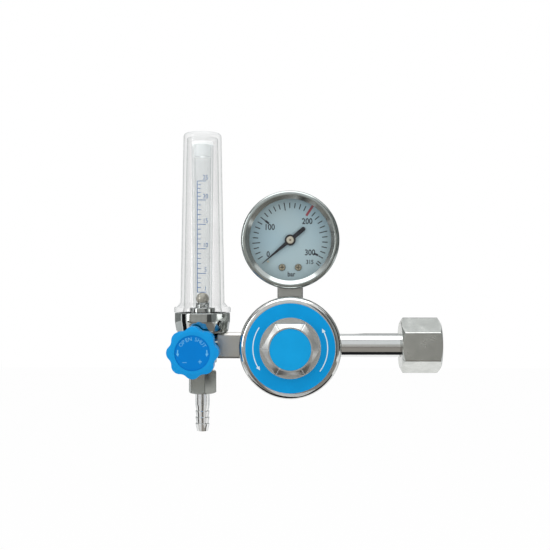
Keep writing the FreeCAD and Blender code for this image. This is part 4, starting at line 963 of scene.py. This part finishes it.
def dial_angle(bar):
    """Where the pointer stands at a pressure, in degrees from the right, anticlockwise."""
    return ten_bar_angle - step_angle * (bar // 10 - 1)


def tick(shape, degrees, near, far, width):
    """A line on the dial between two radii, in millimetres."""
    ends = [around(gauge_axis, radius * mm, degrees) for radius in (near, far)]
    stroke(shape, *ends, width * mm, dial_face)


marks = bmesh.new()
for bar in range(20, 310, 10):
    if bar == full_cylinder:
        continue
    near, far = (18.5, 23.4) if bar in (50, 150, 250) else (19.8, 23.1)
    tick(marks, dial_angle(bar), near, far, line_width)
    if bar in (100, 300):
        tick(marks, dial_angle(bar), 16.6, 19.6, 1.25)
for last_angle in (-37.4, -41.4):
    tick(marks, last_angle, 21.2, 24.0, line_width)
piece("dial_marks", marks, black_ink, "regulator")

limit_mark = bmesh.new()
tick(limit_mark, dial_angle(full_cylinder), 18.0, 25.6, 1.5)
piece("dial_limit_mark", limit_mark, red_ink, "regulator")

figures = bmesh.new()
figure_table = [
    # text, to the right of the gauge's axis, above it, height, all in millimetres
    ("0", -13.6, -8.8, 3.3),
    ("100", -12.7, 7.9, 3.5),
    ("200", 10.5, 11.5, 3.5),
    ("300", 12.2, -7.8, 3.5),
    ("315", 12.1, -13.6, 2.5),
    ("bar", 0.7, -21.1, 2.9),
]
for text, x, z, height in figure_table:
    at = (gauge_axis.x + x * mm, gauge_axis.z + z * mm)
    lettering(figures, text, height * mm, at, dial_face, squeeze=0.86, bold=0.03)
piece("dial_figures", figures, black_ink, "regulator")
print("dial marks on", round(dial_face / mm, 2), "mm")

# %% [markdown]
# ## The flow tube's scale
#
# The flow is read at the middle of the ball against a blue scale printed on the measuring tube,
# from 1 to 25 litres a minute. A print that stayed flat would leave the round wall at its ends. So
# it is made flat, and then bent round the tube: each point keeps its height, and its distance to
# the side becomes a length of arc. The tube widens upwards, so the radius is taken at the height
# of each point.

# %% Tube marks
tube_low, tube_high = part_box("flow_tube")
foot_radius = 5.75 * mm
top_radius = (tube_high.x - tube_low.x) / 2


def tube_radius(z):
    """The tube's outer radius at a height."""
    share = (z - tube_low.z) / (tube_high.z - tube_low.z)
    return foot_radius + (top_radius - foot_radius) * share


def wrap_on_tube(shape):
    """Bends a flat print round the tube's front, with its long edges cut up first."""
    longest = 0.8 * mm
    edges = [e for e in shape.edges if abs(e.verts[0].co.x - e.verts[1].co.x) > longest]
    bmesh.ops.subdivide_edges(shape, edges=edges, cuts=5)
    for vert in shape.verts:
        radius = tube_radius(vert.co.z) + ink_lift - vert.co.y
        turn = (vert.co.x - tube_axis.x) / tube_radius(vert.co.z)
        vert.co.x = tube_axis.x + radius * math.sin(turn)
        vert.co.y = tube_axis.y - radius * math.cos(turn)


# litres a minute: height in millimetres
levels = {1: 33.3, 5: 45.0, 10: 60.3, 15: 75.5, 20: 90.6, 25: 102.4}


def level(flow):
    """Height of a flow in millimetres, read between the main lines of the scale."""
    known = sorted(levels)
    for low, high in zip(known, known[1:]):
        if low <= flow <= high:
            return levels[low] + (levels[high] - levels[low]) * (flow - low) / (high - low)


scale_ink = ink("scale_ink", (48, 100, 164))
line_x = tube_axis.x - 2.9 * mm
main_length, fine_length = 5.6 * mm, 2.4 * mm
scale = bmesh.new()
stroke(scale, (line_x, levels[1] * mm), (line_x, levels[25] * mm), 0.5 * mm, 0.0)
for flow in range(1, 26):
    length = main_length if flow in levels else fine_length
    z = level(flow) * mm
    stroke(scale, (line_x, z), (line_x + length, z), 0.42 * mm, 0.0)
wrap_on_tube(scale)
piece("tube_scale", scale, scale_ink, "regulator")

right_of_line, above_line = 5.3 * mm, 2.2
numbers = bmesh.new()
for flow, height in levels.items():
    at = (line_x + right_of_line, (height + above_line) * mm)
    lettering(numbers, str(flow), 2.8 * mm, at, 0.0, squeeze=0.86)
wrap_on_tube(numbers)
piece("tube_figures", numbers, scale_ink, "regulator")
print("scale from", levels[1], "to", levels[25], "mm")

# %% [markdown]
# ## Arrows on the blue ring
#
# The ring label on the bell's face carries two white arrows, one each side of the hexagon, that
# run anticlockwise. An arrow sign from the font would be straight, so each is made from two simple
# shapes: the shaft is a small rectangle spun round the axis, and the head a triangle that is pushed
# out to the same thickness.

# %% Ring arrows


def arc_arrow(shape, centre, radius, start, end, width, front, head=2.4, half=1.1):
    """A curved arrow from one angle to another, in degrees.

    Head is the length of its head and half is half the head's breadth, in millimetres."""
    way = 1 if end > start else -1
    neck = end - way * math.degrees(head * mm / radius)
    bar = [around(centre, radius + across * width / 2, start) for across in (-1, 1)]
    ends = [
        shape.verts.new((x, front + depth * ink_thick / 2, z))
        for depth in (-1, 1)
        for x, z in bar[::depth]
    ]
    bmesh.ops.spin(
        shape, geom=[shape.faces.new(ends)], cent=centre, axis=(0, -1, 0),
        angle=math.radians(neck - start), steps=24,
    )
    foot = [around(centre, radius + across * half * mm, neck) for across in (-1, 1)]
    corners = [around(centre, radius, end), *foot]
    tip = shape.faces.new([shape.verts.new((x, front - ink_thick / 2, z)) for x, z in corners])
    deep = bmesh.ops.extrude_face_region(shape, geom=[tip], use_keep_orig=True)["geom"]
    moved = [item for item in deep if isinstance(item, bmesh.types.BMVert)]
    bmesh.ops.translate(shape, verts=moved, vec=(0, ink_thick, 0))
    bmesh.ops.recalc_face_normals(shape, faces=shape.faces)


white_ink = ink("white_ink", (218, 238, 248))
ring_face = front_of("ring_label") - ink_lift
ring_radius = 22.4 * mm
shaft_width = 0.58 * mm
arrows = bmesh.new()
for start, end in ((146, 216), (-38, 32)):
    arc_arrow(arrows, body_axis, ring_radius, start, end, shaft_width, ring_face)
piece("ring_arrows", arrows, white_ink, "regulator")
print("arrows on", round(ring_face / mm, 2), "mm")

# %% [markdown]
# ## Words on the knob
#
# The plate on the knob tells which way opens the valve: anticlockwise to open and clockwise to
# shut, with a minus and a plus below. The words follow the plate's rim. Blender can lead a text
# along a curve, but a few letters are set as quickly one by one, each turned to its own angle.

# %% Knob print
sky_ink = ink("sky_ink", (92, 176, 226))
plate_face = front_of("knob_plate") - ink_lift


def on_arc(shape, text, centre, radius, halfway, height, front, spread):
    """Letters set along an arc, tops outwards, spread degrees apart about the halfway angle."""
    start = halfway + spread * (len(text) - 1) / 2
    for i, letter in enumerate(text):
        angle = start - spread * i
        turn = math.radians(angle - 90)
        lettering(shape, letter, height, around(centre, radius, angle), front, turn)


word_radius, arrow_radius = 8.3 * mm, 8.8 * mm
knob_marks = bmesh.new()
for word, halfway in (("OPEN", 121), ("SHUT", 53)):
    on_arc(knob_marks, word, valve_axis, word_radius, halfway, 2.2 * mm, plate_face, 14.5)
for start, end in ((168, 194), (12, -14)):
    arc_arrow(knob_marks, valve_axis, arrow_radius, start, end, 0.6 * mm, plate_face, 1.8, 0.95)
sign_drop, sign_side = 5.4 * mm, 4.6 * mm
for side, sign in ((-sign_side, "\u2013"), (sign_side, "+")):
    at = (valve_axis.x + side, valve_axis.z - sign_drop)
    lettering(knob_marks, sign, 3.4 * mm, at, plate_face)
piece("knob_print", knob_marks, sky_ink, "flow_control")
print("knob print on", round(plate_face / mm, 2), "mm")

# %% [markdown]
# ## The box of the construction
#
# The ink lies on faces that stand back from the outline, so the finished model must still fill the
# box of the construction and no more. The size of that box is printed here.

# %% Boxes
print("construction", [round(v / mm, 1) for v in cad_box[1] - cad_box[0]])

# %% [markdown]
